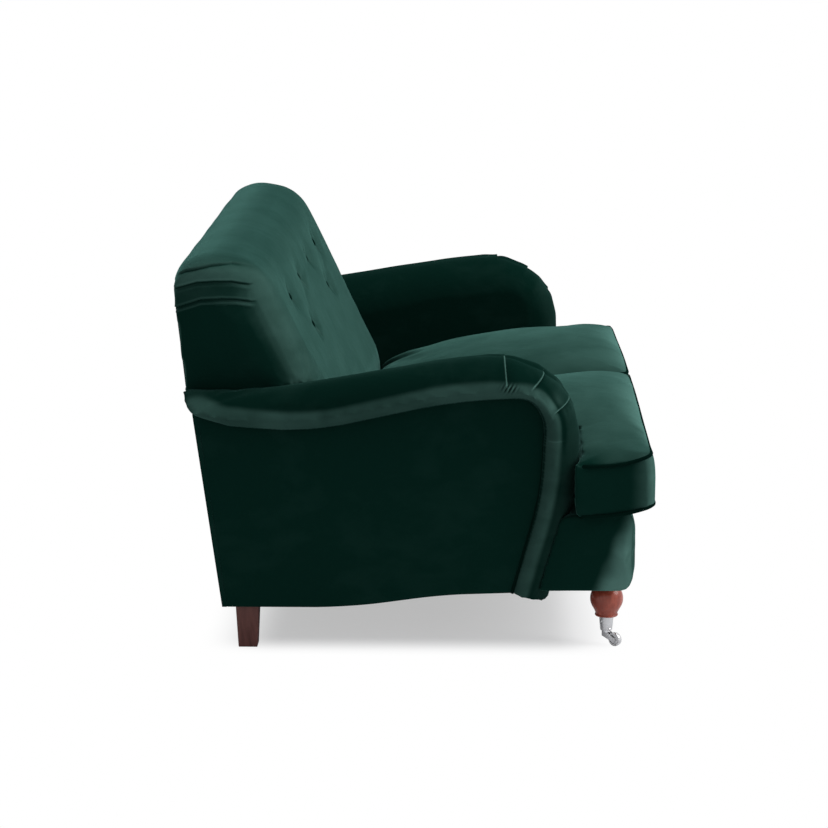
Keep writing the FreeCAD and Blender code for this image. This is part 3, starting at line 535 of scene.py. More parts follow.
# %% [markdown]
# ## Seat cushions
# Each cushion is a T: the front part reaches out past the arm. It is a box cushion, with piping round its
# top and bottom edge, a crown on top and sides that draw in. The seams are held, and the panels between
# them are stuffed.
# %% The seams of a cushion
seat_slope = math.radians(9.5)
seat_front = Vector((0.0, -0.4995, 0.325))
cushion_boxing = 0.110
piping_thickness = 0.008
wing_end = 0.800        # the T's arm reaches this far from the sofa's middle
seat_half = 0.600       # the sofa's middle to the inside face of an arm
arm_front = -0.345
back_foot = 0.116       # the front of the back, just above the seat
corner_radius = 0.024
notch_corner_radius = 0.018
seam_step = 0.006
cushion_gap = 0.0004    # to the other cushion and the arms
lift_gap = 0.0015       # to the arm's front and to the back, which the cushion slides past
cover_gap = 0.0012      # the stuffed cover keeps this far from them


def on_seat(x, along, height):
    """A point in the sloping plane of the seat: along runs to the rear, height is square to the platform."""
    y = seat_front.y + along * math.cos(seat_slope) + height * math.sin(seat_slope)
    z = seat_front.z - along * math.sin(seat_slope) + height * math.cos(seat_slope)
    return Vector((x, y, z))


def cushion_seam(height):
    """The piped seam round the right-hand cushion at one height in its boxing."""
    edge = piping_thickness / 2
    lean = height * math.sin(seat_slope)
    notch = (arm_front - lift_gap - edge - seat_front.y - lean) / math.cos(seat_slope)
    rear = (back_foot - lift_gap - edge - seat_front.y - lean) / math.cos(seat_slope)
    left = cushion_gap + edge
    inner = seat_half - cushion_gap - edge
    wing = wing_end - edge
    plan = [(left, edge), (wing, edge), (wing, notch), (inner, notch), (inner, rear), (left, rear)]
    radii = [corner_radius, corner_radius, notch_corner_radius, corner_radius, corner_radius, corner_radius]
    return rounded([on_seat(x, y, height) for x, y in plan], seam_step, True, radii)


def nearest(points, path):
    """Distance from each point to the nearest point of a path."""
    found = np.full(len(points), 9.0)
    for place in path:
        found = np.minimum(found, np.linalg.norm(points - place, axis=1))
    return found


# %% [markdown]
# The wing of each cushion hangs in the air in front of the arm, so its side sags, and its rear corner is
# squeezed round the arm. The stuffing pushes the upper seam forwards and domes the seat towards its middle.
# `settle` says how far any point of a cushion moves for that, and the piping takes the same move as the
# cover. `fill_corner` makes the wing's rear corner less round, and `tilt_corner` lets the two cushions
# settle unlike each other.
# %% Make the cushions
wing_depth = 0.155
dome_height = 0.022
front_bulge = 0.010
wing_sag = 0.009
round_the_arm = 0.016


def squeezed(x):
    """How far the wing's end is squeezed round the arm, from 0 to 1."""
    return rise(np.abs(x), 0.745, 0.797)


def settle(points):
    x, y, z = points.T
    out = rise(np.abs(x), seat_half, 0.79)
    along = (y - seat_front.y) / wing_depth
    middle = np.clip(1.0 - (2.0 * along - 1.0) ** 2, 0.0, 1.0)
    height = z - seat_front.z + (y - seat_front.y) * math.tan(seat_slope)
    dome = dome_height * rise(-y, -0.10, 0.30) * (1.0 - 0.4 * rise(-y, 0.40, 0.50))
    dome *= 1.0 - rise(np.abs(x), 0.15, 0.68)
    moved = np.zeros_like(points)
    moved[:, 1] = -front_bulge * rise(height, 0.0, cushion_boxing) * rise(-y, 0.38, 0.47)
    moved[:, 1] += round_the_arm * squeezed(x) * rise(y, -0.40, -0.35)
    moved[:, 2] = dome * rise(height, 0.02, cushion_boxing) - wing_sag * out * middle
    return moved


def cord_run(seam):
    """The piping takes the cover's move. Against the arm it is pushed in under the cover."""
    against_arm = rise(seam[:, 0], 0.595, 0.610) * rise(seam[:, 1], -0.362, -0.354)
    return seam + settle(seam) + against_arm[:, None] * np.array((0.0, -0.007, -0.004))


def tilt_corner(piece, drop):
    """Lowers the upper front corner of the wing, or raises it where the drop is negative."""
    points = points_of(piece)
    x, y, z = points.T
    weight = rise(np.abs(x), 0.68, 0.79) * rise(-y, 0.42, 0.49)
    points[:, 2] -= drop * weight * rise(z, 0.36, 0.43)
    set_points(piece, points)


def fill_corner(points):
    centre = np.array((wing_end - corner_radius, arm_front - lift_gap - corner_radius))
    out = points[:, :2] - centre
    beyond = (out > 0).all(axis=1)
    share = np.linalg.norm(out, axis=1) / np.maximum(out.max(axis=1), 1e-6)
    points[:, :2] = centre + out * np.where(beyond, 1.0 + 0.30 * (share - 1.0), 1.0)[:, None]


def make_cushion():
    piece = soft_copy(["seat_cushion_right"], "velvet_seat_cushion_right", 0.0076, 0.0015)
    seams = [cushion_seam(piping_thickness / 2), cushion_seam(cushion_boxing - 0.001)]
    held = np.minimum(*[nearest(points_of(piece), s) for s in seams]) < 0.008
    stuff(piece, held, 4.0, 0.010)
    subdivide(piece)
    points, normals = shape_of(piece)
    from_seam = np.minimum(*[nearest(points, s) for s in seams])
    crown = 0.003 + 0.010 * rise(normals[:, 2], 0.3, 0.8)
    plump = crown * (1.0 - np.exp(-from_seam / 0.026)) + 0.0012 * lumps(points, 0.09)
    points += normals * plump[:, None]
    fill_corner(points)
    points += settle(points)
    x, y, z = points.T
    floor = seat_front.z - (y - seat_front.y) * math.tan(seat_slope) + 0.0004
    points[:, 0] = np.maximum(x, 0.0006)
    beside_arm = (y > arm_front - 0.004) & (x < seat_half + 0.02)
    points[:, 0] = np.where(beside_arm, np.minimum(x, seat_half - 0.0006), x)
    in_front = x > seat_half + 0.001
    against_arm = arm_front - cover_gap + round_the_arm * squeezed(x)
    points[:, 1] = np.where(in_front, np.minimum(y, against_arm), y)
    points[:, 1] = np.minimum(y, back_foot - cover_gap)
    points[:, 2] = np.where(x < seat_half, np.maximum(z, floor), z)
    set_points(piece, points)
    normals = normals_of(piece)
    # Painted light and shade: tops and front faces are painted paler, as if lit, the tops more towards the
    # front, and so is the wing's end near the front; the wing's rear corner by the arm is painted darker, as
    # if in the arm's shade.
    corner = rise(y, -0.42, -0.36) * rise(x, 0.70, 0.79)
    upper = rise(normals[:, 2], 0.3, 0.9) * (0.07 + 0.07 * rise(-y, 0.05, 0.40))
    front = 0.30 * rise(-normals[:, 1], 0.1, 0.8)
    end = 0.26 * rise(-y, 0.440, 0.490) * rise(normals[:, 0], 0.3, 0.8)
    paint_shading(piece, upper * (1.0 - 0.9 * corner) + front + end)
    cord = piping("velvet_cushion_piping_right", [cord_run(s) for s in seams], piping_thickness, True)
    return piece, cord


cushion_right, cushion_cord_right = make_cushion()
cushion_left = mirrored_copy(cushion_right, "velvet_seat_cushion_left")
cushion_cord_left = mirrored_copy(cushion_cord_right, "velvet_cushion_piping_left")
cushions = [
    ("left", cushion_left, cushion_cord_left, -0.005),
    ("right", cushion_right, cushion_cord_right, 0.007),
]
for side, cover, cord, drop in cushions:
    dress(cover, "cushion_" + side, "green_velvet", cover_velvet)
    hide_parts("seat_cushion_" + side)
    for piece in (cover, cord):
        tilt_corner(piece, drop)
    dress(cord, "cushion_" + side, "velvet_trim", shaded_trim_velvet)
    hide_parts("cushion_piping_" + side)
print("cushion", len(cushion_right.data.polygons), "faces")

# %% [markdown]
# ## The rolled arms
# The roll is padding under one long strip of velvet, which runs over the arm and down its front. Where the
# strip turns down, the outer edge has too much cloth, and the upholsterer takes it up in three tucks and a
# few gathers. The tucks are pressed in after stuffing, each as a step from the raised fold down to the
# cloth under it.
# %% The arm's two lines, seen from the side
arm_outside = 0.765
piping_line = [
    (0.4479, 0.508), (0.400, 0.489), (0.215, 0.475), (-0.075, 0.540), (-0.240, 0.549),
    (-0.270, 0.500), (-0.263, 0.345), (-0.2035, 0.129),
]
piping_path = rounded([(arm_outside, y, z) for y, z in piping_line], seam_step)
tucks = [
    ((-0.186, 0.619), (-0.190, 0.577)),
    ((-0.265, 0.588), (-0.243, 0.571)),
    ((-0.316, 0.535), (-0.290, 0.521)),
]
gathers_y, gathers_z = -0.194, 0.573
gather_spacing = 0.0085
crease_z = 0.461


def side_distance(points, path):
    """Distance from each point to a path, seen from the side."""
    found = np.full(len(points), 9.0)
    for place in path:
        found = np.minimum(found, np.hypot(points[:, 1] - place[1], points[:, 2] - place[2]))
    return found


def press_tucks(points):
    """Each tuck is a step, from the raised edge of the fold down to the cloth that goes under it. The raised
    edge of each fold gets a painted highlight."""
    x, y, z = points.T
    moved = np.zeros(len(points))
    fold_highlight = np.zeros(len(points))
    for (y0, z0), (y1, z1) in tucks:
        length = math.hypot(y1 - y0, z1 - z0)
        inwards = np.array(((y1 - y0) / length, (z1 - z0) / length))
        away = (y - y0) * inwards[1] - (z - z0) * inwards[0]
        down = (y - y0) * inwards[0] + (z - z0) * inwards[1]
        reach = rise(down, length + 0.008, length - 0.006) * rise(down, -0.03, -0.02)
        reach *= rise(np.abs(x), 0.66, 0.70)
        beyond = rise(away, -0.0008, 0.0008)
        moved += reach * (1.0 - beyond) * 0.0030 * np.exp(np.minimum(away, 0.0) / 0.012)
        moved -= reach * beyond * 0.0026 * np.exp(-np.maximum(away, 0.0) / 0.007)
        fold_highlight = np.maximum(fold_highlight, reach * hill(away + 0.0012, 0.0013))
        fold_highlight = np.minimum(fold_highlight, 1.0 - reach * hill(away - 0.0014, 0.0013))
    return moved, fold_highlight


def press_gathers(points):
    """The short gathers under the first tuck, just above the piping."""
    x, y, z = points.T
    outer = rise(np.abs(x), 0.77, 0.79)
    patch = outer * hill(y - gathers_y, 0.014) * hill(z - gathers_z, 0.007)
    return patch * 0.0036 * np.sin((y - gathers_y + 0.6 * (z - gathers_z)) * 2 * math.pi / gather_spacing)


# %% Make the rolled arms
def make_arm():
    piece = soft_copy(["arm_roll_right", "inside_arm_right"], "velvet_arm_right", 0.0072)
    points, normals = shape_of(piece)
    x, y, z = points.T
    seam = side_distance(points, piping_path) < 0.009
    hidden = (x > 0.612) & (x < arm_outside - 0.002) & (normals[:, 2] < 0.3)
    lower_edge = z < 0.112
    rear_end = y > 0.43
    inner_face = x < seat_half + 0.002
    stuff(piece, hidden | seam | lower_edge | rear_end | inner_face, 3.0, 0.006)
    smooth(piece, rear_end & (x > seat_half + 0.01), 8)
    subdivide(piece)
    for width in (0.022, 0.012):
        points = points_of(piece)
        x, y, z = points.T
        near_tucks = np.abs(press_gathers(points)) > 0.0001
        near_tucks |= (np.abs(z - crease_z) < width / 2) & (y < -0.265) & (x > 0.75)
        for line in tucks:
            path = rounded([(0.0, *place) for place in line], 0.003)
            near_tucks |= (side_distance(points, path) < width) & (x > 0.65)
        refine(piece, near_tucks)
    points, normals = shape_of(piece)
    x, y, z = points.T
    shift, fold_highlight = press_tucks(points)
    gathers = press_gathers(points)
    from_piping = side_distance(points, piping_path)
    valley = hill(from_piping - 0.038, 0.0045) * rise(-y, 0.235, 0.255) * rise(z, 0.42, 0.47)
    valley *= rise(x, 0.74, 0.78)
    shift += gathers - 0.0020 * valley + 0.0012 * lumps(points, 0.11, 2.0)
    points += normals * shift[:, None]
    points[:, 0] = np.maximum(x, seat_half + 0.0002)
    under_panel = (x < 0.709) & (z > 0.45)
    points[:, 1] = np.where(under_panel, np.minimum(y, 0.481), y)
    set_points(piece, points)
    # Painted light and shade: a pale band along the piping, a pale puff by the front tucks, a pale line
    # across the front at the seam's height and paler front faces, a painted dark line along the valley,
    # painted light and shade on the gathers and painted highlights on the tucks' raised edges. The rear end
    # is painted a little paler.
    outer = rise(x, 0.74, 0.79)
    on_front = rise(-y, 0.15, 0.24)
    width = 0.042 - 0.008 * on_front
    band = rise(from_piping, 0.0015, 0.0045) - rise(from_piping, width - 0.008, width + 0.005)
    puff = hill(np.hypot(y + 0.287, z - 0.538), 0.017)
    crease = hill(z - crease_z, 0.0016) * rise(-y, 0.272, 0.278) * rise(-y, 0.312, 0.304)
    front = rise(-normals_of(piece)[:, 1], 0.3, 0.9)
    light = outer * (0.20 * band + 0.16 * puff + 0.12 * crease) + 0.06 * front
    light *= 1.0 - 0.9 * valley
    pale = np.maximum(light + 70.0 * gathers, 0.0) + 0.50 * fold_highlight * rise(x, 0.708, 0.716)
    paint_shading(piece, pale + 0.03 * rise(y, 0.42, 0.45))
    return piece


arm_right = make_arm()
arm_left = mirrored_copy(arm_right, "velvet_arm_left")
for side, cover in (("left", arm_left), ("right", arm_right)):
    dress(cover, "sofa", "green_velvet", shaded_arm_velvet)
    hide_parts("arm_roll_" + side, "inside_arm_" + side)
print("arm", len(arm_right.data.polygons), "faces")

# %% [markdown]
# ## Outside panels of the arms
# The outside of an arm is one flat panel of velvet over card and wadding, edged with the piping. Its
# outline must stay crisp, so it is the model's own panel with small round edges, cut into a grid and padded
# out towards its middle.
# %% Make the outside panels and their piping
def pad_out(piece, axis, height, margin, waves, seed):
    """Pushes the face of a flat panel out towards its middle, and lets it wave a little."""
    points = points_of(piece)
    others = [k for k in range(3) if k != axis]
    low, high = points.min(0), points.max(0)
    inwards = np.minimum(points - low, high - points)[:, others].min(1)
    sign = np.sign(points[:, axis] - (low[axis] + high[axis]) / 2)
    points[:, axis] += sign * rise(inwards, 0.0, margin) * (height + waves * lumps(points, 0.17, seed))
    set_points(piece, points)


outside_right = crisp_copy(["outside_arm_right"], "velvet_outside_arm_right", 0.002, 0.016)
pad_out(outside_right, 0, 0.002, 0.12, 0.0015, 3.0)
paint_shading(outside_right, 0.0)
arm_cord_right = piping("velvet_arm_piping_right", [piping_path + (0.0021, 0, 0)], 0.007)
for part, cover in (("outside_arm", outside_right), ("arm_piping", arm_cord_right)):
    twin = mirrored_copy(cover, "velvet_" + part + "_left")
    for side, piece in (("left", twin), ("right", cover)):
        finish = shaded_trim_velvet if part == "arm_piping" else cover_velvet
        dress(piece, "sofa", "velvet_trim" if part == "arm_piping" else "green_velvet", finish)
        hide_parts(part + "_" + side)
        part == "outside_arm"
print("outside panel", len(outside_right.data.polygons), "faces")

# %% [markdown]
# ## The buttoned back
# The back is one big pad, rounded at its ends and pulled in by buttons, whose twine goes through to the
# frame. The cover is held at the buttons and at its hidden edges and stuffed between. Then each button gets
# the star of small creases that the pull makes, and each end gets the three tucks that take up the cloth
# round its corner.
# %% The back's lines
buttons = [(x * side, z) for side in (-1, 1) for x, z in ((0.140, 0.700), (0.420, 0.700), (0.280, 0.615))]
back_rake = math.radians(26.0)
back_foot_height = 0.372
end_tucks = [
    [(0.335, 0.797), (0.352, 0.804), (0.382, 0.811), (0.423, 0.808), (0.475, 0.796), (0.500, 0.785)],
    [(0.345, 0.768), (0.380, 0.776), (0.415, 0.777), (0.451, 0.775), (0.496, 0.762)],
    [(0.340, 0.733), (0.370, 0.739), (0.400, 0.741), (0.443, 0.739), (0.498, 0.721)],
]
# For each tuck, its painted light: how much lighter the cloth above it is painted, and the painted highlights
# above and below its painted dark line.
tuck_painted_light = [(0.0, 0.0, 0.0), (0.24, 0.10, 0.05), (0.05, 0.12, 0.16)]


def back_face(x, z, proud=0.0):
    """A point on the raked front of the back, or proud of it."""
    y = back_foot + (z - back_foot_height) * math.tan(back_rake)
    return Vector((x, y - proud * math.cos(back_rake), z + proud * math.sin(back_rake)))


def from_button(points, button, proud=0.0):
    return np.linalg.norm(points - np.array(back_face(*button, proud)), axis=1)


def ease_tufts(points):
    """The model's tufts are pits for the buttons. The stuffed cover is drawn in less deep than they are."""
    face = back_foot + (points[:, 2] - back_foot_height) * math.tan(back_rake)
    proud = (face - points[:, 1]) * math.cos(back_rake)
    moved = np.zeros(len(points))
    for button in buttons:
        near = from_button(points, button) < 0.050
        moved = np.where(near & (proud < 0) & (proud > -0.02), -0.85 * proud, moved)
    outwards = np.array((0.0, -math.cos(back_rake), math.sin(back_rake)))
    return points + moved[:, None] * outwards


def press_buttons(points, front):
    """Each button draws the cover in, with a star of small creases and one fold straight up and down."""
    moved = np.zeros(len(points))
    for x, z in buttons:
        seat = back_face(x, z)
        across = points[:, 0] - x
        up = (points[:, 2] - seat.z) / math.cos(back_rake)
        away = np.hypot(across, up)
        angle = np.arctan2(up, across)
        moved -= front * (0.0030 * hill(away, 0.013) + 0.0008 * hill(away, 0.035))
        star = np.cos(4.0 * angle + x * 9.0) * hill(away - 0.018, 0.012)
        moved += front * 0.0006 * star
        pull = hill(across, 0.0035) * rise(np.abs(up), 0.042, 0.012) * rise(np.abs(up), 0.005, 0.010)
        moved -= front * 0.0018 * pull
    return moved


def press_end_tucks(points, normals):
    """Steps like those of the arm's tucks. The cloth between the tucks is painted lighter than the end below
    them, as if lit, and each fold gets painted highlights above and below a painted dark line."""
    y, z = points[:, 1], points[:, 2]
    moved = np.zeros(len(points))
    pale = np.zeros(len(points))
    dark = np.zeros(len(points))
    end = rise(np.abs(normals[:, 0]), 0.10, 0.45)
    for line, (paler, upper_lip, lower_lip) in zip(end_tucks, tuck_painted_light):
        ys, zs = np.array(line).T
        height = z - np.interp(y, ys, zs)
        along = rise(y, ys[0] - 0.012, ys[0] + 0.010)
        over = rise(height, -0.0010, 0.0010)
        moved += end * along * over * 0.0030 * np.exp(-np.maximum(height, 0.0) / 0.012)
        moved -= end * along * (1.0 - over) * 0.0040 * np.exp(np.minimum(height, 0.0) / 0.0035)
        moved += end * along * 0.0016 * lower_lip / 0.16 * hill(height + 0.010, 0.0030)
        pale += paler * rise(height, -0.0015, 0.0015)
        lips = upper_lip * hill(height - 0.0035, 0.0018) + lower_lip * hill(height + 0.0100, 0.0018)
        pale += along * lips
        dark = np.maximum(dark, end * along * hill(height + 0.0012, 0.0018))
    return moved, pale, dark


# %% Make the back
def make_back():
    piece = soft_copy(["inside_back"], "velvet_inside_back", 0.0090)
    points, normals = shape_of(piece)
    under = np.where((normals[:, 2] < -0.5) & (points[:, 1] > 0.2), 0.004, 0.0)
    set_points(piece, ease_tufts(points + normals * under[:, None]))
    points = points_of(piece)
    held = (normals[:, 1] > 0.3) | (normals[:, 2] < -0.4) | (normals[:, 0] * np.sign(points[:, 0]) < -0.3)
    for button in buttons:
        held |= from_button(points, button, -0.006) < 0.015
    stuff(piece, held, 3.5, 0.004)
    subdivide(piece)
    for width in (0.016, 0.010):
        points = points_of(piece)
        wanted = np.zeros(len(points), dtype=bool)
        for line in end_tucks:
            wanted |= side_distance(points, rounded([(0.0, *place) for place in line], 0.003)) < width
        wanted &= np.abs(points[:, 0]) > 0.66
        for button in buttons:
            wanted |= from_button(points, button) < 3.0 * width
        refine(piece, wanted)
    points, normals = shape_of(piece)
    x, y, z = points.T
    front = rise(-normals[:, 1], 0.3, 0.7)
    shift, pale, dark = press_end_tucks(points, normals)
    shift += press_buttons(points, front) + 0.0015 * lumps(points, 0.13, 5.0)
    points += normals * shift[:, None]
    inside_ends = np.abs(x) < 0.686
    rear_face = rise(normals[:, 1], 0.3, 0.7) * rise(-z, -0.775, -0.760)
    points[:, 1] -= 0.007 * rear_face * inside_ends
    points[:, 1] = np.where((z < 0.755) & inside_ends, np.minimum(y, 0.468), y)
    set_points(piece, points)
    normals = normals_of(piece)
    # Painted light and shade: the front and the turn onto each end are painted paler, the top a little
    # darker, the ends take the tucks' painted light, and the tucks' dark lines are painted shade.
    turned = rise(1.0 - np.abs(normals[:, 0]), 0.03, 0.30)
    facing = 0.11 - 0.085 * rise(normals[:, 2], 0.5, 0.95) + 0.13 * rise(np.abs(normals[:, 0]), 0.05, 0.40)
    paint_shading(piece, (pale * (1.0 - turned) + facing * turned) * (1.0 - dark))
    return piece


back = make_back()
dress(back, "sofa", "green_velvet", cover_velvet)
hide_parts("inside_back")
print("back", len(back.data.polygons), "faces")

# %% [markdown]
# ## Buttons
# A covered button is a shallow dome of metal with velvet stretched over it. Each is made from a flattened
# sphere and set into its own tuft along the rake of the back.
# %% Make the buttons
button_radius = 0.0115
button_sink = 0.0060


def make_button(number, x, z):
    bpy.ops.object.select_all(action="DESELECT")
    bpy.ops.mesh.primitive_uv_sphere_add(segments=32, ring_count=16, radius=button_radius)
    button = bpy.context.object
    button.name = f"velvet_button_{number}"
    points = points_of(button)
    up = points[:, 2] / button_radius
    points[:, 2] = button_radius * np.where(up > 0, 0.42 * up, 0.25 * up)
    seat = back_face(x, z, -button_sink)
    turn = Vector((0, -math.cos(back_rake), math.sin(back_rake))).to_track_quat("Z", "Y").to_matrix()
    set_points(button, points @ np.array(turn).T + np.array(seat))
    button.data.shade_smooth()
    dress(button, "sofa", "velvet_trim", shaded_trim_velvet)
    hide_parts("back_buttons")
    return button


for number, (x, z) in enumerate(buttons):
    make_button(number, x, z)
print(len(buttons), "buttons")

# %% [markdown]
# ## Outside back, front border and platform
# The outside back is a plain panel. The border under the cushions is a firm roll of velvet over the front
# rail. The platform under the loose cushions is lined with a plainer cloth, as is usual where nobody looks,
# and a thin black cloth is tacked under the frame to keep the dust out.
# %% Make the outside back, the border, the platform and the dust cover
outside_back = crisp_copy(["outside_back"], "velvet_outside_back", 0.002, 0.025)
pad_out(outside_back, 1, 0.002, 0.12, 0.0015, 6.0)
paint_shading(outside_back, 0.01)
dress(outside_back, "sofa", "green_velvet", cover_velvet)
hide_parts("outside_back")


def make_border():
    piece = soft_copy(["front_border"], "velvet_front_border", 0.0065)
    points, normals = shape_of(piece)
    return_face = (np.abs(points[:, 0]) < 0.745) & (points[:, 1] > -0.435)
    held = (normals[:, 2] > 0.8) | (normals[:, 1] > 0.3) | return_face
    stuff(piece, held, 2.5, 0.004)
    subdivide(piece)
    points, normals = shape_of(piece)
    x, y, z = points.T
    points += normals * (0.0012 * lumps(points, 0.10, 7.0))[:, None]
    beside_leg = np.maximum(np.abs(x) - 0.745, -y - 0.450)
    points[:, 2] -= 0.0045 * rise(beside_leg, 0.0, 0.020) * rise(-z, -0.19, -0.14)
    set_points(piece, points)
    # Painted light: each end of the border is painted paler in front of a slanting line, less so on its front
    # face.
    slant = (-y - 0.370) - 0.45 * (z - 0.137) + 0.010 * lumps(points, 0.035, 8.0)
    paint_shading(piece, 0.75 * rise(slant, -0.012, 0.040) * (1.0 - 0.75 * rise(-normals[:, 1], 0.3, 0.9)))
    return piece


border = make_border()
dress(border, "sofa", "green_velvet", cover_velvet)
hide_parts("front_border")

platform = crisp_copy(["seat_deck"], "platform_seat_deck", 0.003, 0.03)
dress(platform, "sofa", "platform_cloth", platform_cloth)
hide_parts("seat_deck")

dust_cover = crisp_copy(["dust_cover"], "dust_cover_cloth", 0.0003, 0.03)
dress(dust_cover, "sofa", "dust_cloth", dust_cloth)
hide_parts("dust_cover")
print("border", len(border.data.polygons), "faces")

# %% [markdown]
# ## Legs and castors
# The front legs were turned on a lathe, so each is a profile spun round its axis: a ball, a flared foot and
# a rim that covers the castor's cup. `lathe` grows it ring by ring. The cup is turned from the same kind of
# profile. The rear legs are square and tapered, with their edges eased.
# %% Make the legs
leg_x = 0.700
leg_y = -0.405
cup_top = 0.0635
ball_centre = 0.101
ball_radius = 0.035


def lathe(name, profile, closed=False, rings=48):
    """Spins a profile of (radius, height) points round the Z axis through the origin."""
    bpy.ops.object.select_all(action="DESELECT")
    first = profile[0]
    bpy.ops.mesh.primitive_circle_add(vertices=rings, radius=first[0], location=(0, 0, first[1]),
                                      fill_type="NOTHING" if closed else "NGON")
    piece = bpy.context.object
    piece.name = name
    bpy.ops.object.transform_apply(location=True, rotation=True, scale=True)
    bpy.context.tool_settings.mesh_select_mode = (False, True, False) if closed else (False, False, True)
    with editing():
        bpy.ops.mesh.select_all(action="SELECT")
        for before, after in zip(profile, profile[1:]):
            bpy.ops.mesh.extrude_region_move(TRANSFORM_OT_translate={"value": (0, 0, after[1] - before[1])})
            share = after[0] / before[0]
            bpy.ops.transform.resize(value=(share, share, 1), center_override=(0, 0, after[1]))
        bpy.ops.mesh.select_all(action="SELECT")
        bpy.ops.mesh.remove_doubles(threshold=0.000005)
        bpy.ops.mesh.normals_make_consistent(inside=False)
    bpy.ops.object.shade_smooth_by_angle(angle=crease_angle)
    return piece


def moved_to(piece, x, y, z=0.0, turn=None):
    points = points_of(piece)
    if turn is not None:
        points = points @ np.array(turn.to_3x3()).T
    set_points(piece, points + (x, y, z))
    return piece


def both_sides(piece, name, nodes, body, slot, material):
    """Finishes a right-hand piece and its mirror image on the left."""
    twin = mirrored_copy(piece, name + "_left")
    piece.name = name + "_right"
    for side, made in (("left", twin), ("right", piece)):
        own = body + "_" + side if body != "sofa" else body
        dress(made, own, slot, material)
        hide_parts(*[n + "_" + side for n in nodes])


def front_leg_profile():
    ball = []
    for k in range(15):
        angle = math.radians(-35.0 + 80.0 * k / 14)
        ball.append((ball_radius * math.cos(angle), ball_centre + ball_radius * math.sin(angle)))
    rim = [(0.0100, 0.0420), (0.0108, 0.0424), (0.0133, cup_top), (0.0224, cup_top), (0.0238, 0.0639),
           (0.0245, 0.0650), (0.0245, 0.0662), (0.0238, 0.0673), (0.0229, 0.0677), (0.0231, 0.0690),
           (0.0243, 0.0725), (0.0262, 0.0765)]
    return rim + ball + [(0.0250, 0.1265), (0.0250, 0.1420)]


front_leg = moved_to(lathe("front_leg", front_leg_profile()), leg_x, leg_y)
both_sides(front_leg, "turned_front_leg", ["front_leg"], "sofa", "mahogany", mahogany)
rear_leg = crisp_copy(["rear_leg_right"], "rear_leg", 0.0016)
both_sides(rear_leg, "tapered_rear_leg", ["rear_leg"], "sofa", "dark_wood", dark_wood)
print("front leg", len(front_leg.data.polygons), "faces")

# %% [markdown]
# The castor has a cup that is screwed to the leg, a forked horn that swivels under it, and a wheel on its
# axle. The horn is the model's own solid with eased edges, while the cup and the wheel are turned again
# with rounded lips and a groove.
# %% Make the castors
wheel_turn = math.radians(38.0)
wheel_trail = 0.023
wheel_height = 0.0145
wheel_x = leg_x + wheel_trail * math.sin(wheel_turn)
wheel_y = leg_y - wheel_trail * math.cos(wheel_turn)
cup_profile = [
    (0.00405, 0.0310), (0.0116, 0.0310), (0.0124, 0.0314), (0.0128, 0.0322), (0.0142, 0.0480),
    (0.0155, 0.0610), (0.0159, 0.0622), (0.0160, 0.0630), (0.0156, cup_top), (0.0140, cup_top),
    (0.0136, 0.0629), (0.0105, 0.0346), (0.0100, 0.0340), (0.00405, 0.0340), (0.00405, 0.0310),
]
half_wheel = [
    (0.00205, -0.0046), (0.0050, -0.0046), (0.0054, -0.0042), (0.0056, -0.0036), (0.0100, -0.0034),
    (0.0106, -0.0040), (0.0110, -0.0052), (0.0118, -0.0055), (0.0132, -0.0052), (0.0141, -0.0042),
    (0.0145, -0.0024),
]
wheel_profile = half_wheel + [(radius, -z) for radius, z in reversed(half_wheel)] + half_wheel[:1]
cup = moved_to(lathe("cup", cup_profile, True), leg_x, leg_y)
both_sides(cup, "chrome_castor_cup", ["castor_cup"], "sofa", "castor_chrome", chrome)
horn = crisp_copy(["castor_horn_right"], "horn", 0.0005)
both_sides(horn, "chrome_castor_horn", ["castor_horn"], "swivel", "castor_chrome", chrome)
axle_turn = Matrix.Rotation(wheel_turn, 4, "Z") @ Matrix.Rotation(math.pi / 2, 4, "Y")
wheel = moved_to(lathe("wheel", wheel_profile, True), wheel_x, wheel_y, wheel_height, axle_turn)
both_sides(wheel, "chrome_castor_wheel", ["castor_wheel"], "wheel", "castor_chrome", chrome)
axle = crisp_copy(["castor_axle_right"], "axle", 0.0004)
both_sides(axle, "chrome_castor_axle", ["castor_axle"], "swivel", "castor_chrome", chrome)
screws = crisp_copy(["castor_screws"], "chrome_castor_screws", 0.0005)
dress(screws, "sofa", "castor_chrome", chrome)
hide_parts("castor_screws")
print("castor wheel", len(wheel.data.polygons), "faces")

# %% [markdown]
# ## What the covers hide
# The timber frame, the springs and the webbing keep the model's own shapes. They only need their finishes.
# %% Finish the hidden pieces
hidden = {
    frame_wood: ["post", "rail", "stay", "stump", "corner_blocks"],
    steel: ["springs", "clips", "bolts"],
    jute: ["webbing"],
}
for material, words in hidden.items():
    for node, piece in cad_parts.items():
        if any(word in node for word in words):
            piece.data.materials.clear()
            piece.data.materials.append(material)
print("hidden pieces have their finishes")

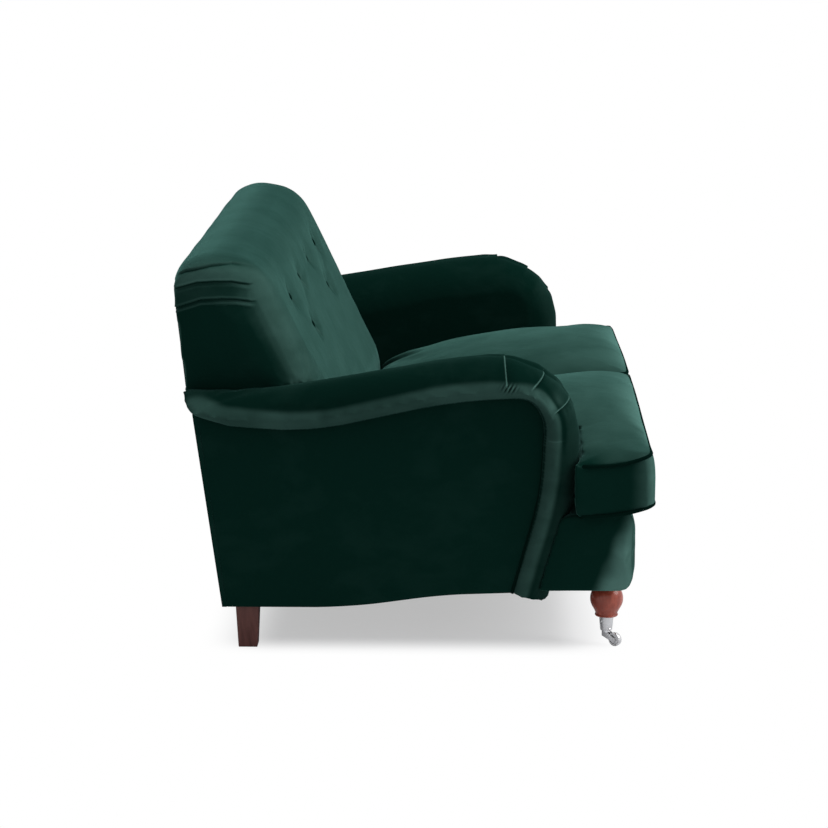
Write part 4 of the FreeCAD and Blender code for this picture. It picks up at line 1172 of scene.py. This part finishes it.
# %% [markdown]
# ## The studio
# The floor and the backdrop are white for the camera, as in a catalogue picture, while the light on the
# sofa stays plain. The world is white only for camera, mirror and glass rays. The floor keeps the soft
# shadow under the sofa and fades into the white round it.
# %% Floor, world and lamps
def make_world():
    world = bpy.data.worlds.new("studio")
    world.use_nodes = True
    scene.world = world
    tree = world.node_tree
    light = tree.nodes["Background"]
    light.inputs["Color"].default_value = (0.92, 0.96, 1.0, 1.0)
    light.inputs["Strength"].default_value = 0.55
    white = tree.nodes.new("ShaderNodeBackground")
    white.inputs["Color"].default_value = (1.0, 1.0, 1.0, 1.0)
    path = tree.nodes.new("ShaderNodeLightPath")
    seen = path.outputs["Is Camera Ray"]
    for ray in ("Is Glossy Ray", "Is Transmission Ray"):
        either = tree.nodes.new("ShaderNodeMath")
        either.operation = "MAXIMUM"
        tree.links.new(seen, either.inputs[0])
        tree.links.new(path.outputs[ray], either.inputs[1])
        seen = either.outputs[0]
    mix = tree.nodes.new("ShaderNodeMixShader")
    for number, socket in enumerate((seen, light.outputs[0], white.outputs[0])):
        tree.links.new(socket, mix.inputs[number])
    tree.links.new(mix.outputs[0], tree.nodes["World Output"].inputs["Surface"])


def make_floor():
    bpy.ops.object.select_all(action="DESELECT")
    bpy.ops.mesh.primitive_plane_add(size=60.0)
    floor = bpy.context.object
    floor.name = "floor"
    finish = Finish("floor", {"Roughness": 0.75, "Specular IOR Level": 0.2})
    spread = finish.node("VectorMath", {"operation": "ABSOLUTE"}, {0: finish.place})
    along = finish.node("SeparateXYZ", {}, {0: spread}, "X")
    across = finish.node("SeparateXYZ", {}, {0: spread}, "Y")
    under = (1.0 - finish.band(along, 0.66, 0.80)) * (1.0 - finish.band(across, 0.28, 0.46))
    glow_share = 1.0 - under * 0.53
    ray = finish.node("LightPath", output="Is Camera Ray")
    glow = finish.node("Emission", {}, {"Color": (1, 1, 1, 1), "Strength": 1.0})
    speckle = finish.noise(60.0, 3.0)
    colour = finish.mix(speckle, (0.80, 0.80, 0.81, 1), (0.83, 0.83, 0.84, 1))
    finish.done(Base_Color=colour)
    plain = Value(finish, finish.shader.outputs[0])
    mixed = finish.node("MixShader", {}, {0: glow_share * ray, 1: plain, 2: glow})
    finish.fill(finish.tree.nodes["Material Output"].inputs["Surface"], mixed)
    floor.data.materials.append(finish.material)


def make_lamp(name, place, target, size, power):
    data = bpy.data.lights.new(name, "AREA")
    data.shape = "SQUARE"
    data.size = size
    data.energy = power
    lamp = bpy.data.objects.new(name, data)
    scene.collection.objects.link(lamp)
    lamp.location = place
    lamp.rotation_euler = (Vector(target) - Vector(place)).to_track_quat("-Z", "Y").to_euler()


make_world()
make_floor()
make_lamp("front key", (-0.6, -3.6, 2.6), (0.0, 0.0, 0.4), 2.6, 130.0)
make_lamp("overhead", (0.0, -0.4, 3.6), (0.0, 0.0, 0.3), 3.0, 82.0)
print("lamps and floor are in place")
